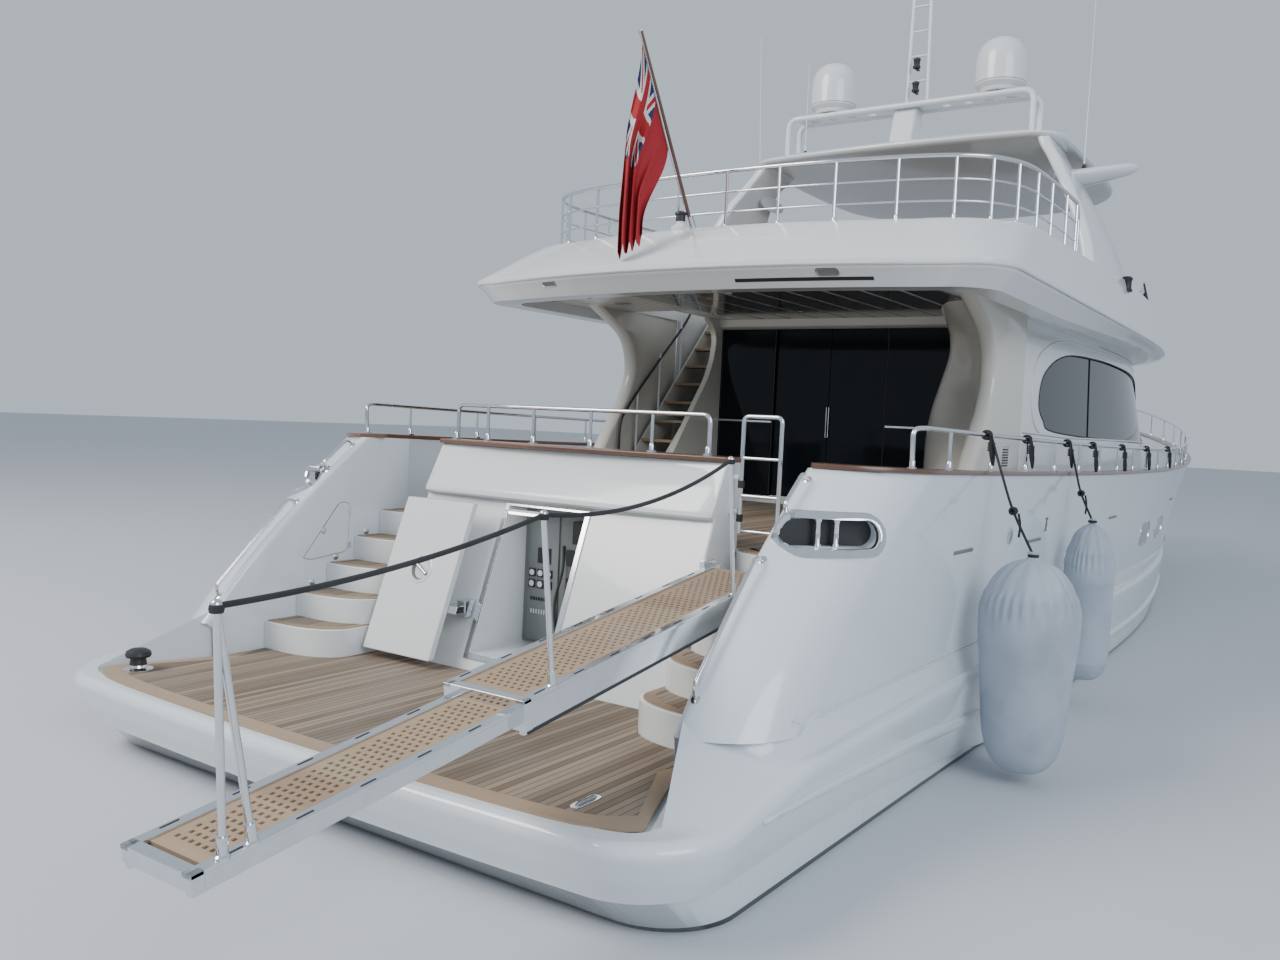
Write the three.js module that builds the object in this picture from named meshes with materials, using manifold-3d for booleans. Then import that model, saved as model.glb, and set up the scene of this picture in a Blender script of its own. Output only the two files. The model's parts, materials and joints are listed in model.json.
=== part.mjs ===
// A 28 m motor yacht, afloat and moored stern-to: hull, houses, decks, rails, masts and stern gear.
// Millimetres. +X runs to the bow, +Y to port, +Z up, and Z = 0 is the waterline at mid-length.

import * as THREE from "three";
import { mergeVertices } from "three/addons/utils/BufferGeometryUtils.js";
import Module from "manifold-3d";

const wasm = await Module();
wasm.setup();

// Driving dimensions

const seat = 0.4; // the gap kept between two pieces that touch
const deckZ = 1850; // the aft deck and side decks
const platformZ = 640; // the moulded swimming platform, under its teak
const teak = 24; // thickness of the laid teak
const innerWing = 2350; // half the clear width between the quarter wings
const blockHalf = 1560; // half the width of the transom block between the stairs
const sternDeckX = -10300; // the aft end of the aft deck, where the quarter wings and the transom block begin
const bulkheadX = -5300; // the glazed aft end of the saloon
const ceilingZ = 4280; // underside of the upper deck
const upperDeckZ = 4700; // its walking surface
const coamingZ = 4950; // the top of its coaming, at the middle of its length
const hardtopZ = 6780; // underside of the hardtop

// Colours and finishes

const paint = (color, roughness = 0.3, metalness = 0) =>
  new THREE.MeshStandardMaterial({ color, roughness, metalness });
const white = paint(0xe9ecef, 0.25);
const teakWood = paint(0x8d7a66, 0.7);
const capWood = paint(0x7b4f33, 0.4);
const steel = paint(0xc4c8cc, 0.15, 1);
const darkGlass = paint(0x14181d, 0.05);
const bronze = paint(0xa98748, 0.3, 1);
const black = paint(0x17181a, 0.5);
const fabric = paint(0xb9b4a8, 0.9);
const red = paint(0xa61f2e, 0.8);

// Solids: geometry to and from exact joining and cutting

function solidOf(geometry) {
  const bare = geometry.clone();
  bare.deleteAttribute("normal");
  bare.deleteAttribute("uv");
  const merged = mergeVertices(bare, 1e-2);
  return new wasm.Manifold(
    new wasm.Mesh({
      numProp: 3,
      vertProperties: Float32Array.from(merged.attributes.position.array),
      triVerts: Uint32Array.from(merged.index.array),
    }),
  );
}

function geometryOf(solid) {
  const mesh = solid.getMesh();
  const geometry = new THREE.BufferGeometry();
  geometry.setAttribute("position", new THREE.BufferAttribute(Float32Array.from(mesh.vertProperties), 3));
  geometry.setIndex(new THREE.BufferAttribute(Uint32Array.from(mesh.triVerts), 1));
  return geometry;
}

const joined = (...solids) => solids.reduce((whole, piece) => whole.add(piece));

// Basic shapes, each returned as a solid

const span = (low, high) => (low + high) / 2;

function block(x0, x1, y0, y1, z0, z1) {
  const box = new THREE.BoxGeometry(x1 - x0, y1 - y0, z1 - z0);
  return solidOf(box.translate(span(x0, x1), span(y0, y1), span(z0, z1)));
}

// A flat outline of [a, b] pairs, extruded. "xz" outlines run across the boat, "xy" outlines run up.
function plate(outline, plane, low, high) {
  const shape = new THREE.Shape(outline.map(([a, b]) => new THREE.Vector2(a, b)));
  const geometry = new THREE.ExtrudeGeometry(shape, { depth: high - low, bevelEnabled: false, curveSegments: 6 });
  if (plane === "xz") geometry.rotateX(Math.PI / 2).translate(0, high, 0);
  if (plane === "xy") geometry.translate(0, 0, low);
  if (plane === "yz") geometry.rotateZ(Math.PI / 2).rotateY(Math.PI / 2).translate(low, 0, 0);
  return solidOf(geometry);
}

// A straight round bar between two points.
function bar(from, to, radius, sides = 8, tip = radius) {
  const a = new THREE.Vector3(...from);
  const b = new THREE.Vector3(...to);
  const along = b.clone().sub(a);
  const geometry = new THREE.CylinderGeometry(tip, radius, along.length(), sides);
  const turn = new THREE.Quaternion().setFromUnitVectors(new THREE.Vector3(0, 1, 0), along.clone().normalize());
  geometry.applyQuaternion(turn).translate(...a.add(b).multiplyScalar(0.5).toArray());
  return solidOf(geometry);
}

// A closed solid through rings of [x, y, z] points that all hold the same number of points.
function skin(rings) {
  const count = rings[0].length;
  const faces = [];
  rings.slice(1).forEach((ring, r) => {
    for (let i = 0; i < count; i += 1) {
      const next = (i + 1) % count;
      const low = r * count;
      const high = low + count;
      faces.push(low + i, low + next, high + next, low + i, high + next, high + i);
    }
  });
  const top = (rings.length - 1) * count;
  for (let i = 1; i < count - 1; i += 1) faces.push(0, i + 1, i, top, top + i, top + i + 1);
  const geometry = new THREE.BufferGeometry();
  geometry.setAttribute("position", new THREE.BufferAttribute(new Float32Array(rings.flat(2)), 3));
  geometry.setIndex(faces);
  const solid = solidOf(geometry);
  if (solid.volume() > 0) return solid;
  geometry.setIndex(faces.map((_, i) => faces[i - (i % 3) + 2 - (i % 3)]));
  return solidOf(geometry);
}

// The value at x of a line given by [x, value] pairs
function along(line, x) {
  const next = line.findIndex(([at]) => at >= x);
  if (next === 0) return line[0][1];
  if (next < 0) return line[line.length - 1][1];
  const [[x0, v0], [x1, v1]] = [line[next - 1], line[next]];
  return v0 + ((v1 - v0) * (x - x0)) / (x1 - x0);
}

// A solid less its neighbour, with a small gap left all round
const clearOf = (solid, other) =>
  [[seat, 0, 0], [-seat, 0, 0], [0, seat, 0], [0, -seat, 0], [0, 0, seat], [0, 0, -seat]].reduce(
    (left, shift) => left.subtract(other.translate(shift)), solid,
  );

// A round bar through points, mitred at its bends.
function sweep(points, radius, sides = 6) {
  const stops = points.map((p) => new THREE.Vector3(...p));
  let side = null;
  const rings = stops.map((p, i) => {
    const before = i > 0 ? p.clone().sub(stops[i - 1]).normalize() : stops[1].clone().sub(p).normalize();
    const after = i < stops.length - 1 ? stops[i + 1].clone().sub(p).normalize() : before;
    const along = before.clone().add(after).normalize();
    if (!side) side = new THREE.Vector3(0, 0, 1).cross(along).length() > 0.1
      ? new THREE.Vector3(0, 0, 1).cross(along).normalize() : new THREE.Vector3(1, 0, 0);
    side.addScaledVector(along, -side.dot(along)).normalize();
    const up = along.clone().cross(side);
    const stretch = 1 / Math.max(0.5, before.dot(along));
    return Array.from({ length: sides }, (_, k) => {
      const turn = (2 * Math.PI * (k + 0.5)) / sides;
      const lean = i > 0 && i < stops.length - 1 ? stretch : 1;
      return p.clone().addScaledVector(side, radius * Math.cos(turn) * lean)
        .addScaledVector(up, radius * Math.sin(turn)).toArray();
    });
  });
  return skin(rings);
}

// Lofts through level rings. Each ring is half an outline, from the stern centreline to the bow,
// given by: sternX, camber of the stern edge, corner radius, half beam at the corner, widest half beam,
// bowX, fullness forward, and z at the stern, at mid-length and at the bow.

function halfRing(level, cornerSteps = 6, sideSteps = 14) {
  const { sternX, camber = 0, corner, aft, wide, bowX, full = 2.2, z, nose = 1 } = level;
  const points = [];
  const edgeX = (y) => sternX + camber * (y / aft) ** 2;
  const straight = Math.max(aft - corner, 1);
  for (let i = 0; i < 4; i += 1) points.push([edgeX((straight * i) / 3), (straight * i) / 3]);
  const startX = edgeX(straight);
  for (let i = 1; i <= cornerSteps; i += 1) {
    const turn = (Math.PI / 2) * (i / cornerSteps);
    points.push([startX + corner * (1 - Math.cos(turn)), straight + corner * Math.sin(turn)]);
  }
  const sideX = startX + corner;
  for (let i = 1; i <= sideSteps; i += 1) {
    const t = 1 - (1 - i / sideSteps) ** 1.5;
    const x = sideX + (bowX - sideX) * t;
    const bulge = Math.min(1, t / 0.45);
    const swell = aft + (wide - aft) * Math.sin((bulge * Math.PI) / 2);
    const taper = t < 0.4 ? 1 : (1 - ((t - 0.4) / 0.6) ** full) ** nose;
    points.push([x, i === sideSteps ? 0 : swell * taper]);
  }
  const height = (x) => {
    if (x < 0) return z[1] + (z[0] - z[1]) * (x / sternX) ** 2;
    return z[1] + (z[2] - z[1]) * (x / bowX) ** 2;
  };
  return points.map(([x, y]) => [x, y, typeof z === "function" ? z(x) : height(x)]);
}

function loft(levels, cornerSteps, sideSteps) {
  const rings = levels.map((level) => {
    const half = halfRing(level, cornerSteps, sideSteps);
    const other = half.slice(1, -1).reverse().map(([x, y, z]) => [x, -y, z]);
    return [...half, ...other];
  });
  const count = rings[0].length;
  const half = count / 2;
  const faces = [];
  rings.slice(1).forEach((ring, r) => {
    for (let i = 0; i < count; i += 1) {
      const next = (i + 1) % count;
      const low = r * count;
      const high = (r + 1) * count;
      faces.push(low + i, high + i, high + next, low + i, high + next, low + next);
    }
  });
  const top = (rings.length - 1) * count;
  const mirrorOf = (i) => (i === 0 || i === half ? i : count - i);
  for (let i = 0; i < half; i += 1) {
    const a = i;
    const b = i + 1;
    const c = mirrorOf(b);
    const d = mirrorOf(a);
    if (b !== c) faces.push(a, b, c, top + a, top + c, top + b);
    if (a !== d) faces.push(a, c, d, top + a, top + d, top + c);
  }
  const geometry = new THREE.BufferGeometry();
  geometry.setAttribute("position", new THREE.BufferAttribute(new Float32Array(rings.flat(2)), 3));
  geometry.setIndex(faces);
  return solidOf(geometry);
}

const inset = (level, gap, changes = {}) => ({
  ...level,
  sternX: level.sternX + gap,
  bowX: level.bowX - gap * 1.6,
  aft: level.aft - gap,
  wide: level.wide - gap,
  ...changes,
});

// The part

const yacht = new THREE.Group();

function add(name, solid, material) {
  const mesh = new THREE.Mesh(geometryOf(solid), material);
  mesh.name = name;
  yacht.add(mesh);
  return mesh;
}

// Hull: keel, bilge, chine, lower topside, ledge edge, ledge groove, topside and cap, from the bottom up

const keel = { sternX: -12300, corner: 30, aft: 60, wide: 60, bowX: 10400, z: [-1000, -1250, -700] };
const bilge = {
  sternX: -12500, corner: 250, aft: 2100, wide: 2250, bowX: 11700, full: 1.9, z: [-420, -480, -50],
};
const chine = {
  sternX: -13100, corner: 500, aft: 2880, wide: 3020, bowX: 12500, full: 2.1, z: [-20, -60, 620],
};
const lowSide = {
  sternX: -13500, camber: 80, corner: 600, aft: 2960, wide: 3080, bowX: 12700, full: 2.3,
  z: [270, 220, 860],
};
const ledgeEdge = {
  sternX: -13640, camber: 110, corner: 640, aft: 3060, wide: 3180, bowX: 13010, full: 2.5,
  z: [642, 880, 1330],
};
const groove = {
  sternX: -12500, camber: 60, corner: 620, aft: 2960, wide: 3090, bowX: 13220, full: 2.6,
  z: [1110, 1180, 1750],
};
const topside = {
  sternX: -11500, camber: 30, corner: 720, aft: 3020, wide: 3160, bowX: 13580, full: 2.8,
  z: [2090, 2060, 2600],
};
const cap = {
  sternX: -10900, camber: 20, corner: 780, aft: 3080, wide: 3200, bowX: 13900, full: 3.0,
  z: [2570, 2450, 3350],
};
const hullLevels = [keel, bilge, chine, lowSide, ledgeEdge, groove, topside, cap];

const deckLine = (x) => (x < 2000 ? deckZ : deckZ + 750 * ((x - 2000) / 11900) ** 1.6);
const deckCut = loft([
  inset(topside, 170, { sternX: sternDeckX - 20, corner: 60, z: deckLine }),
  inset(cap, 150, { sternX: sternDeckX - 20, corner: 60, z: () => 4200 }),
]);

const sternCutPlan = [
  [sternDeckX, -innerWing], [sternDeckX, innerWing], [-12430, innerWing], [-13300, 2800],
  [-14200, 3300], [-14200, -3300], [-13300, -2800], [-12430, -innerWing],
];
const sternCut = plate(sternCutPlan, "xy", platformZ, 4200);
const rudderStock = { x: -11720, y: 1250, bossZ: -735, boss: 75, radius: 40 };
const stockBoss = (side) => bar(
  [rudderStock.x, side * rudderStock.y, -500], [rudderStock.x, side * rudderStock.y, rudderStock.bossZ],
  rudderStock.boss, 12,
);
const hull = joined(loft(hullLevels).subtract(deckCut).subtract(sternCut), stockBoss(1), stockBoss(-1));

add("hull", hull, white);

// Transom block: the sloped stern wall between the stairs, with the engine room doorway

const blockFoot = -11330;
const blockTop = -10620;
const blockZ = 2560;
const lean = (z) => blockFoot + ((blockTop - blockFoot) * (z - platformZ)) / (blockZ - platformZ);
const doorway = { low: 800, high: 2055, port: 520, starboard: -330 };

const blockProfile = [
  [blockFoot, platformZ + seat], [lean(2110), 2110], [lean(2140) - 60, 2140], [lean(2300) - 40, 2300],
  [blockTop, blockZ], [-10390, blockZ], [-10390, deckZ], [-10302, deckZ], [-10302, platformZ + seat],
];
const doorwayCut = block(-12000, -10560, doorway.starboard, doorway.port, doorway.low, doorway.high);
const gateLug = (z) => block(-10575, -10525, -1632.5, -blockHalf + 5, z, z + 45);
const transomBlock = joined(plate(blockProfile, "xz", -blockHalf, blockHalf), gateLug(2150), gateLug(2420)).subtract(
  doorwayCut,
);
add("transom_block", transomBlock, white);
add("transom_cap", block(blockTop - 40, -10370, -1585, 1585, blockZ + seat, blockZ + 40), capWood);

// Stairs: five risers each side, with rounded noses towards the block

const treads = [
  { z: 905, nose: -11990 }, { z: 1135, nose: -11650 }, { z: 1375, nose: -11310 }, { z: 1610, nose: -10980 },
  { z: deckZ, nose: -10670 },
];
const noseCurve = { back: 300, out: 520, steps: 6 };
const stairInner = blockHalf + seat;
const stairOuter = innerWing - seat;
function stairPlan(nose, grow = 0) {
  const curve = Array.from({ length: noseCurve.steps + 1 }, (_, k) => {
    const turn = (Math.PI / 2) * (k / noseCurve.steps);
    return [nose + noseCurve.back * (1 - Math.sin(turn)) - grow, stairInner + noseCurve.out * (1 - Math.cos(turn))];
  });
  const back = sternDeckX - 1;
  return [...curve, [nose - grow, stairOuter + grow], [back, stairOuter + grow], [back, stairInner]];
}
function stair(side) {
  const steps = treads.map(({ z, nose }, i) => {
    const bottom = i === 0 ? platformZ + seat : treads[i - 1].z;
    return plate(stairPlan(nose).map(([x, y]) => [x, side * y]), "xy", bottom, z);
  });
  return joined(...steps);
}
add("stair_port", stair(1), white);
add("stair_starboard", stair(-1), white);

// Swimming platform: laid teak inside the moulded edge

const platformHalf = [[-11335, 0], [-11335, stairInner - 5], [-12000, 2330], [-12430, 2310], [-13270, 2640],
  [-13460, 2300], [-13530, 1200], [-13550, 0]];
const platformPlan = [...platformHalf, ...platformHalf.slice(1, -1).reverse().map(([x, y]) => [x, -y])];
const stairFoot = (side) => plate(stairPlan(treads[0].nose, 3).map(([x, y]) => [x, side * y]), "xy", 0, 2000);
const teakBoards = plate(platformPlan, "xy", platformZ + seat, platformZ + teak)
  .subtract(stairFoot(1))
  .subtract(stairFoot(-1));

// A profile of [radius, height] pairs, turned about an upright axis
function turned(profile, sides, x, y, z) {
  const geometry = new THREE.LatheGeometry(profile.map(([r, h]) => new THREE.Vector2(r, h)), sides);
  return solidOf(geometry.rotateX(Math.PI / 2).translate(x, y, z));
}
const capstanProfile = [[0, 0], [115, 0], [115, 17], [62, 32], [52, 105], [88, 128], [80, 152], [0, 168]];
const capstan = turned(capstanProfile, 16, -13190, 2330, platformZ + teak - 2);
add("platform_teak", joined(teakBoards, capstan), teakWood);

// Caps: teak along both bulwarks, from the quarter to the bow

function capStrip(side) {
  const outer = halfRing(cap).filter(([x, y]) => y > 2300 || x > 0);
  const low = outer.map(([x, y, z]) => [x, side * (y + 25), z + seat]);
  const inner = outer.map(([x, y, z]) => [x + (x < -9800 ? 210 : 0), side * (y - 175), z + seat]);
  const count = low.length;
  const corners = [low, inner, inner.map(([x, y, z]) => [x, y, z + 36]), low.map(([x, y, z]) => [x, y, z + 36])];
  const faces = [];
  for (let i = 0; i < count - 1; i += 1) {
    for (let c = 0; c < 4; c += 1) {
      const a = c * count + i;
      const b = ((c + 1) % 4) * count + i;
      if (side > 0) faces.push(a, a + 1, b + 1, a, b + 1, b);
      else faces.push(a, b + 1, a + 1, a, b, b + 1);
    }
  }
  const end = count - 1;
  const close = (i, flip) => {
    const q = [0, 1, 2, 3].map((c) => c * count + i);
    if (flip) faces.push(q[0], q[2], q[1], q[0], q[3], q[2]);
    else faces.push(q[0], q[1], q[2], q[0], q[2], q[3]);
  };
  close(0, side < 0);
  close(end, side > 0);
  const geometry = new THREE.BufferGeometry();
  geometry.setAttribute("position", new THREE.BufferAttribute(new Float32Array(corners.flat(2)), 3));
  geometry.setIndex(faces);
  const half = block(-14000, 14400, side > 0 ? seat : -4000, side > 0 ? 4000 : -seat, 2000, 4000);
  return solidOf(geometry).intersect(half);
}
add("cap_port", capStrip(1), capWood);
add("cap_starboard", capStrip(-1), capWood);

// Deckhouse: one moulding round the saloon and wheelhouse, hollow, with its windows cut

const house = { sternX: bulkheadX, corner: 90 };
const houseFoot = {
  ...house, aft: 2440, wide: 2480, bowX: 8900, full: 2.6, nose: 0.5, z: () => deckZ + seat,
};
const houseSill = { ...house, aft: 2430, wide: 2470, bowX: 8500, full: 2.6, nose: 0.5, z: () => 2900 };
const houseHead = {
  ...house, aft: 2360, wide: 2400, bowX: 6000, full: 3.0, nose: 0.45, z: () => ceilingZ - seat,
};
const houseWall = 80;
const houseFloorZ = deckZ + 60;
const houseCore = loft([
  inset(houseFoot, houseWall, { corner: 20, z: () => houseFloorZ }),
  inset(houseSill, houseWall, { corner: 20 }),
  inset(houseHead, houseWall, { corner: 20, z: () => ceilingZ - 90 }),
]);
const saloonOpening = { half: 1600, low: deckZ + 90, high: 4170 };
const alcove = { aft: -5500, bow: -4190, low: 1600, high: 2290 }; // where the upper stair climbs, to port
const sideWindow = [
  [-4460, 3330], [-4150, 3700], [-3080, 3980], [-1200, 4070], [450, 4080], [2200, 4050], [3440, 3950],
  [4700, 3600], [5600, 3270], [5300, 3000], [4500, 2890], [0, 2900], [-3650, 2960], [-4250, 3100],
];
const windowCut = plate(sideWindow, "xz", -4000, 4000);
const alcoveCut = block(alcove.aft, alcove.bow, alcove.low, alcove.high, saloonOpening.low, 4400);
const windscreenCut = plate([[5400, 3950], [12000, 3950], [12000, 3080], [7500, 3080]], "xz", -1750, 1750);
const saloonCut = block(
  -6000, bulkheadX + 400, -saloonOpening.half, saloonOpening.half, saloonOpening.low, saloonOpening.high,
);
const deckhouse = loft([houseFoot, houseSill, houseHead])
  .subtract(houseCore)
  .subtract(alcoveCut)
  .subtract(saloonCut)
  .subtract(windowCut)
  .subtract(windscreenCut)
  .subtract(hull.translate([0, 0, seat]));
add("deckhouse", deckhouse, white);

// Saloon doors: two fixed leaves outboard and two sliding leaves in the middle

const leafLap = 60;
const leafWidth = (2 * saloonOpening.half + 2 * leafLap) / 4;
const fixedX = bulkheadX + 8;
const slidingX = bulkheadX + 46;
function leaf(name, x0, y0, y1, low) {
  add(name, block(x0, x0 + 30, y0, y1, low, saloonOpening.high - 8), darkGlass);
}
leaf("saloon_glass_port", fixedX, leafWidth - leafLap, saloonOpening.half - seat, saloonOpening.low + seat);
leaf("saloon_glass_starboard", fixedX, seat - saloonOpening.half, leafLap - leafWidth, saloonOpening.low + seat);
leaf("saloon_door_port", slidingX, 3, leafWidth - 3, saloonOpening.low + seat);
leaf("saloon_door_starboard", slidingX, 3 - leafWidth, -3, saloonOpening.low + seat);

// Side glass and windscreen, set in the thickness of the house walls

const houseSkin = loft([
  inset(houseFoot, 24, { corner: 40 }),
  inset(houseSill, 24, { corner: 40 }),
  inset(houseHead, 24, { corner: 40 }),
]);
const houseSkinInner = loft([
  inset(houseFoot, 54, { corner: 30 }),
  inset(houseSill, 54, { corner: 30 }),
  inset(houseHead, 54, { corner: 30 }),
]);
const glassShell = houseSkin.subtract(houseSkinInner);
const shrink = (outline) => {
  const cx = outline.reduce((sum, p) => sum + p[0], 0) / outline.length;
  const cz = outline.reduce((sum, p) => sum + p[1], 0) / outline.length;
  return outline.map(([x, z]) => [cx + (x - cx) * 0.9985, cz + (z - cz) * 0.9985]);
};
const sideGlass = (side) =>
  glassShell.intersect(plate(shrink(sideWindow), "xz", side > 0 ? 1000 : -3000, side > 0 ? 3000 : -1000));
add("side_glass_port", sideGlass(1), darkGlass);
add("side_glass_starboard", sideGlass(-1), darkGlass);
const windscreenPane = plate(
  [[5401, 3949.6], [12000, 3949.6], [12000, 3080.4], [7501, 3080.4]], "xz", -1749.6, 1749.6,
);
add("windscreen", glassShell.intersect(windscreenPane), darkGlass);

// Upper deck: an overhanging moulding with a raked fascia, a coaming and a sunk walking deck

const soffitLine = [[-6000, 4160], [-1000, ceilingZ]];
const coamingLine = [
  [-8400, 4900], [-7900, 4910], [-6000, 4940], [-4600, 4960], [-2600, 5020], [-1300, 4990], [900, 4930],
  [2800, 4800],
  [3700, 4600], [4700, 4420],
];
const coamingAt = (x) => along(coamingLine, x);
const band = {
  sternX: -9040, camber: 440, corner: 480, aft: 2970, wide: 2975, bowX: 4700, full: 3.2, nose: 0.45,
  z: (x) => along(soffitLine, x),
};
const lip = {
  sternX: -9230, camber: 560, corner: 500, aft: 3140, wide: 3150, bowX: 5300, full: 3.2, nose: 0.45,
  z: () => 4390,
};
const fascia = {
  sternX: -8420, camber: 700, corner: 900, aft: 2960, wide: 3010, bowX: 4700, full: 3.2, nose: 0.45,
  z: coamingAt,
};
const recess = { sternX: -8780, camber: 420, corner: 400, aft: 2700, wide: 2720, bowX: 0, full: 12 };
const ceilingRecess = loft([{ ...recess, z: () => 4000 }, { ...recess, z: () => ceilingZ }]);
const well = [
  inset(fascia, 330, { corner: 640, bowX: 2600, z: () => upperDeckZ }),
  inset(fascia, 260, { corner: 700, bowX: 2800, z: () => coamingZ + 200 }),
];
const hatchway = { aft: -6450, bow: -4220, low: 1660 };
const hatchCut = block(hatchway.aft, hatchway.bow, hatchway.low, alcove.high, 4000, 5200);
const upperDeck = loft([band, lip, fascia]).subtract(ceilingRecess).subtract(loft(well)).subtract(hatchCut);
const overUpperDeck = (solid) => solid.subtract(upperDeck.translate([0, 0, seat]));
add("upper_deck", upperDeck, white);

// Side wings: the curved panels that carry the overhang either side of the saloon doors. To starboard the panel
// runs in from its outer edge to the glass, and to port it stands clear of the stair.

const wingRows = [
  { z: deckZ + seat, edge: -7400, glass: -1480 }, { z: 2500, edge: -7050, glass: -1490 },
  { z: 2850, edge: -6800, glass: -1500 }, { z: 3150, edge: -6580, glass: -1545 },
  { z: 3450, edge: -6450, glass: -1630 },
  { z: 3750, edge: -6480, glass: -1710 }, { z: 3950, edge: -6620, glass: -1710 },
  { z: 4080, edge: -6850, glass: -1680 },
  { z: ceilingZ - seat, edge: -7300, glass: -1590 },
];
const wingSide = { out: 2440, lip: 2250, root: 2340 };
const wingFront = bulkheadX - seat;
add("side_wing_port", skin(wingRows.map(({ z, edge }) => [
  [wingFront, wingSide.root, z], [edge + 250, wingSide.lip + 40, z], [edge, wingSide.lip, z],
  [edge, wingSide.out, z],
  [wingFront, wingSide.out, z],
])), white);
add("side_wing_starboard", skin(wingRows.map(({ z, edge, glass }) => [
  [wingFront, -wingSide.out, z], [edge, -wingSide.out, z], [edge, -wingSide.lip, z],
  [edge + 480, (glass - wingSide.lip) / 2 - 60, z], [wingFront, glass, z],
])), white);

// Upper stair: an open flight from the aft deck through the hatchway to the upper deck, on the port side, with
// the curved wall that parts it from the saloon and the wall behind its head

const risers = 11;
const wallY = { in: alcove.low + seat, out: 1680 };
const stairRun = { foot: -6800, go: 250, low: wallY.out - 1, high: 2210 };
const riserZ = (upperDeckZ - deckZ) / risers;
const slope = riserZ / stairRun.go;
const noseLine = (x) => deckZ + riserZ + (x - stairRun.foot) * slope;
const stairHead = hatchway.bow - seat;
const stringer = (y) => plate(
  [
    [stairRun.foot - 60, deckZ + seat], [stairRun.foot + 330, deckZ + seat],
    [stairHead, noseLine(stairHead) - 420],
    [stairHead, upperDeckZ - 20], [stairHead - 100, upperDeckZ - 20],
    [stairRun.foot - 60, noseLine(stairRun.foot - 60) - 30],
  ],
  "xz", y, y + 30,
);
const upperTreads = Array.from({ length: risers - 1 }, (_, i) => {
  const x = stairRun.foot + stairRun.go * i;
  const z = deckZ + riserZ * (i + 1);
  return block(x, x + 270, stairRun.low + 10, stairRun.high - 10, z - 40, z);
});
const wallTop = ceilingZ - seat;
const sillTop = saloonOpening.low + seat;
const stairWall = plate(
  [
    [-6900, deckZ + seat], [-6350, 2560], [-5860, 3180], [-5600, 3520], [-5460, 3900], [-5500, 4120],
    [-5700, wallTop],
    [-4200, wallTop], [-4200, sillTop], [bulkheadX - seat, sillTop], [bulkheadX - seat, deckZ + seat],
  ],
  "xz", wallY.in, wallY.out,
);
const headWall = block(-4250, -4200, wallY.in, 2260, sillTop, wallTop);
const flight = [stringer(stairRun.low), stringer(stairRun.high - 30), ...upperTreads];
add("upper_stair", joined(stairWall, headWall, ...flight), white);

// Rails: round bars on posts

const railRadius = 19;
function railing(path, heights, postAt, baseZ) {
  const pieces = heights.map((h) => sweep(path.map(([x, y, z]) => [x, y, z + h]), h === heights[0] ? railRadius : 13));
  postAt.forEach((i) => {
    const [x, y, z] = path[i];
    pieces.push(bar([x, y, z + baseZ], [x, y, z + heights[0]], 16, 6));
    pieces.push(bar([x, y, z + baseZ], [x, y, z + baseZ + 60], 26, 6));
  });
  return joined(...pieces);
}

const upperPath = [
  [-5100, 2850], [-6300, 2860], [-7300, 2780], [-7830, 2330], [-8080, 1200], [-8150, 0],
].map(([x, y]) => [x, y, coamingAt(x)]);
const upperRailPath = [...upperPath, ...upperPath.slice(0, -1).reverse().map(([x, y, z]) => [x, -y, z])];
const upperRail = railing(upperRailPath, [620, 400, 190], [0, 1, 2, 3, 4, 5, 6, 7, 8, 9, 10], -40);
add("upper_rail", overUpperDeck(upperRail), steel);

const transomPath = [[-10480, -1300], [-10500, -900], [-10500, 0], [-10500, 900], [-10480, 1500]].map(
  ([x, y]) => [x, y, blockZ + 40],
);
add("transom_rail", railing(transomPath, [330], [0, 1, 2, 3, 4], seat), steel);

function sideRail(side) {
  const run = halfRing(cap).filter(([x, y]) => y > 2980 && x < -9000 || (x >= -9000 && x < 13600));
  const path = run.map(([x, y, z]) => [x, side * (y - 70), z + 36]);
  const rises = path.map(([x]) => 310 + Math.max(0, x - 4000) * 0.03);
  const high = path.map(([x, y, z], i) => [x, y, z + rises[i]]);
  const pieces = [sweep(high, railRadius)];
  path.forEach((p, i) => pieces.push(bar([p[0], p[1], p[2] - 10], high[i], 15, 6)));
  return joined(...pieces).subtract(capStrip(side).translate([0, 0, seat]));
}
add("side_rail_port", sideRail(1), steel);
add("side_rail_starboard", sideRail(-1), steel);

// Arch, hardtop and mast

// Each leg springs from the coaming, leans in, and carries a swept fin for an aerial
const archRows = [
  { z: 4850, out: 2940, aft: -4300, fore: -1850 }, { z: 5300, out: 2840, aft: -4160, fore: -2130 },
  { z: 5750, out: 2670, aft: -4010, fore: -2440 }, { z: 6150, out: 2480, aft: -3880, fore: -2720 },
  { z: 6500, out: 2280, aft: -3700, fore: -2820 }, { z: hardtopZ - seat, out: 2120, aft: -3600, fore: -2600 },
];
const legWall = 160;
const finRows = [
  { y: 2200, x: -2950, z: 6330, long: 360, tall: 105 }, { y: 2600, x: -2740, z: 6420, long: 270, tall: 92 },
  { y: 2900, x: -2560, z: 6500, long: 170, tall: 74 }, { y: 3010, x: -2500, z: 6530, long: 80, tall: 40 },
];
function archLeg(side) {
  const leg = skin(archRows.map(({ z, out, aft, fore }) => [
    [aft, side * out, z], [fore, side * out, z], [fore, side * (out - legWall), z],
    [aft, side * (out - legWall), z],
  ]));
  const fin = skin(finRows.map(({ y, x, z, long, tall }) => Array.from({ length: 10 }, (_, k) => {
    const turn = (2 * Math.PI * k) / 10;
    return [x + long * Math.cos(turn), side * y, z + tall * Math.sin(turn)];
  })));
  return overUpperDeck(joined(leg, fin));
}
add("arch_port", archLeg(1), white);
add("arch_starboard", archLeg(-1), white);

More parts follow.
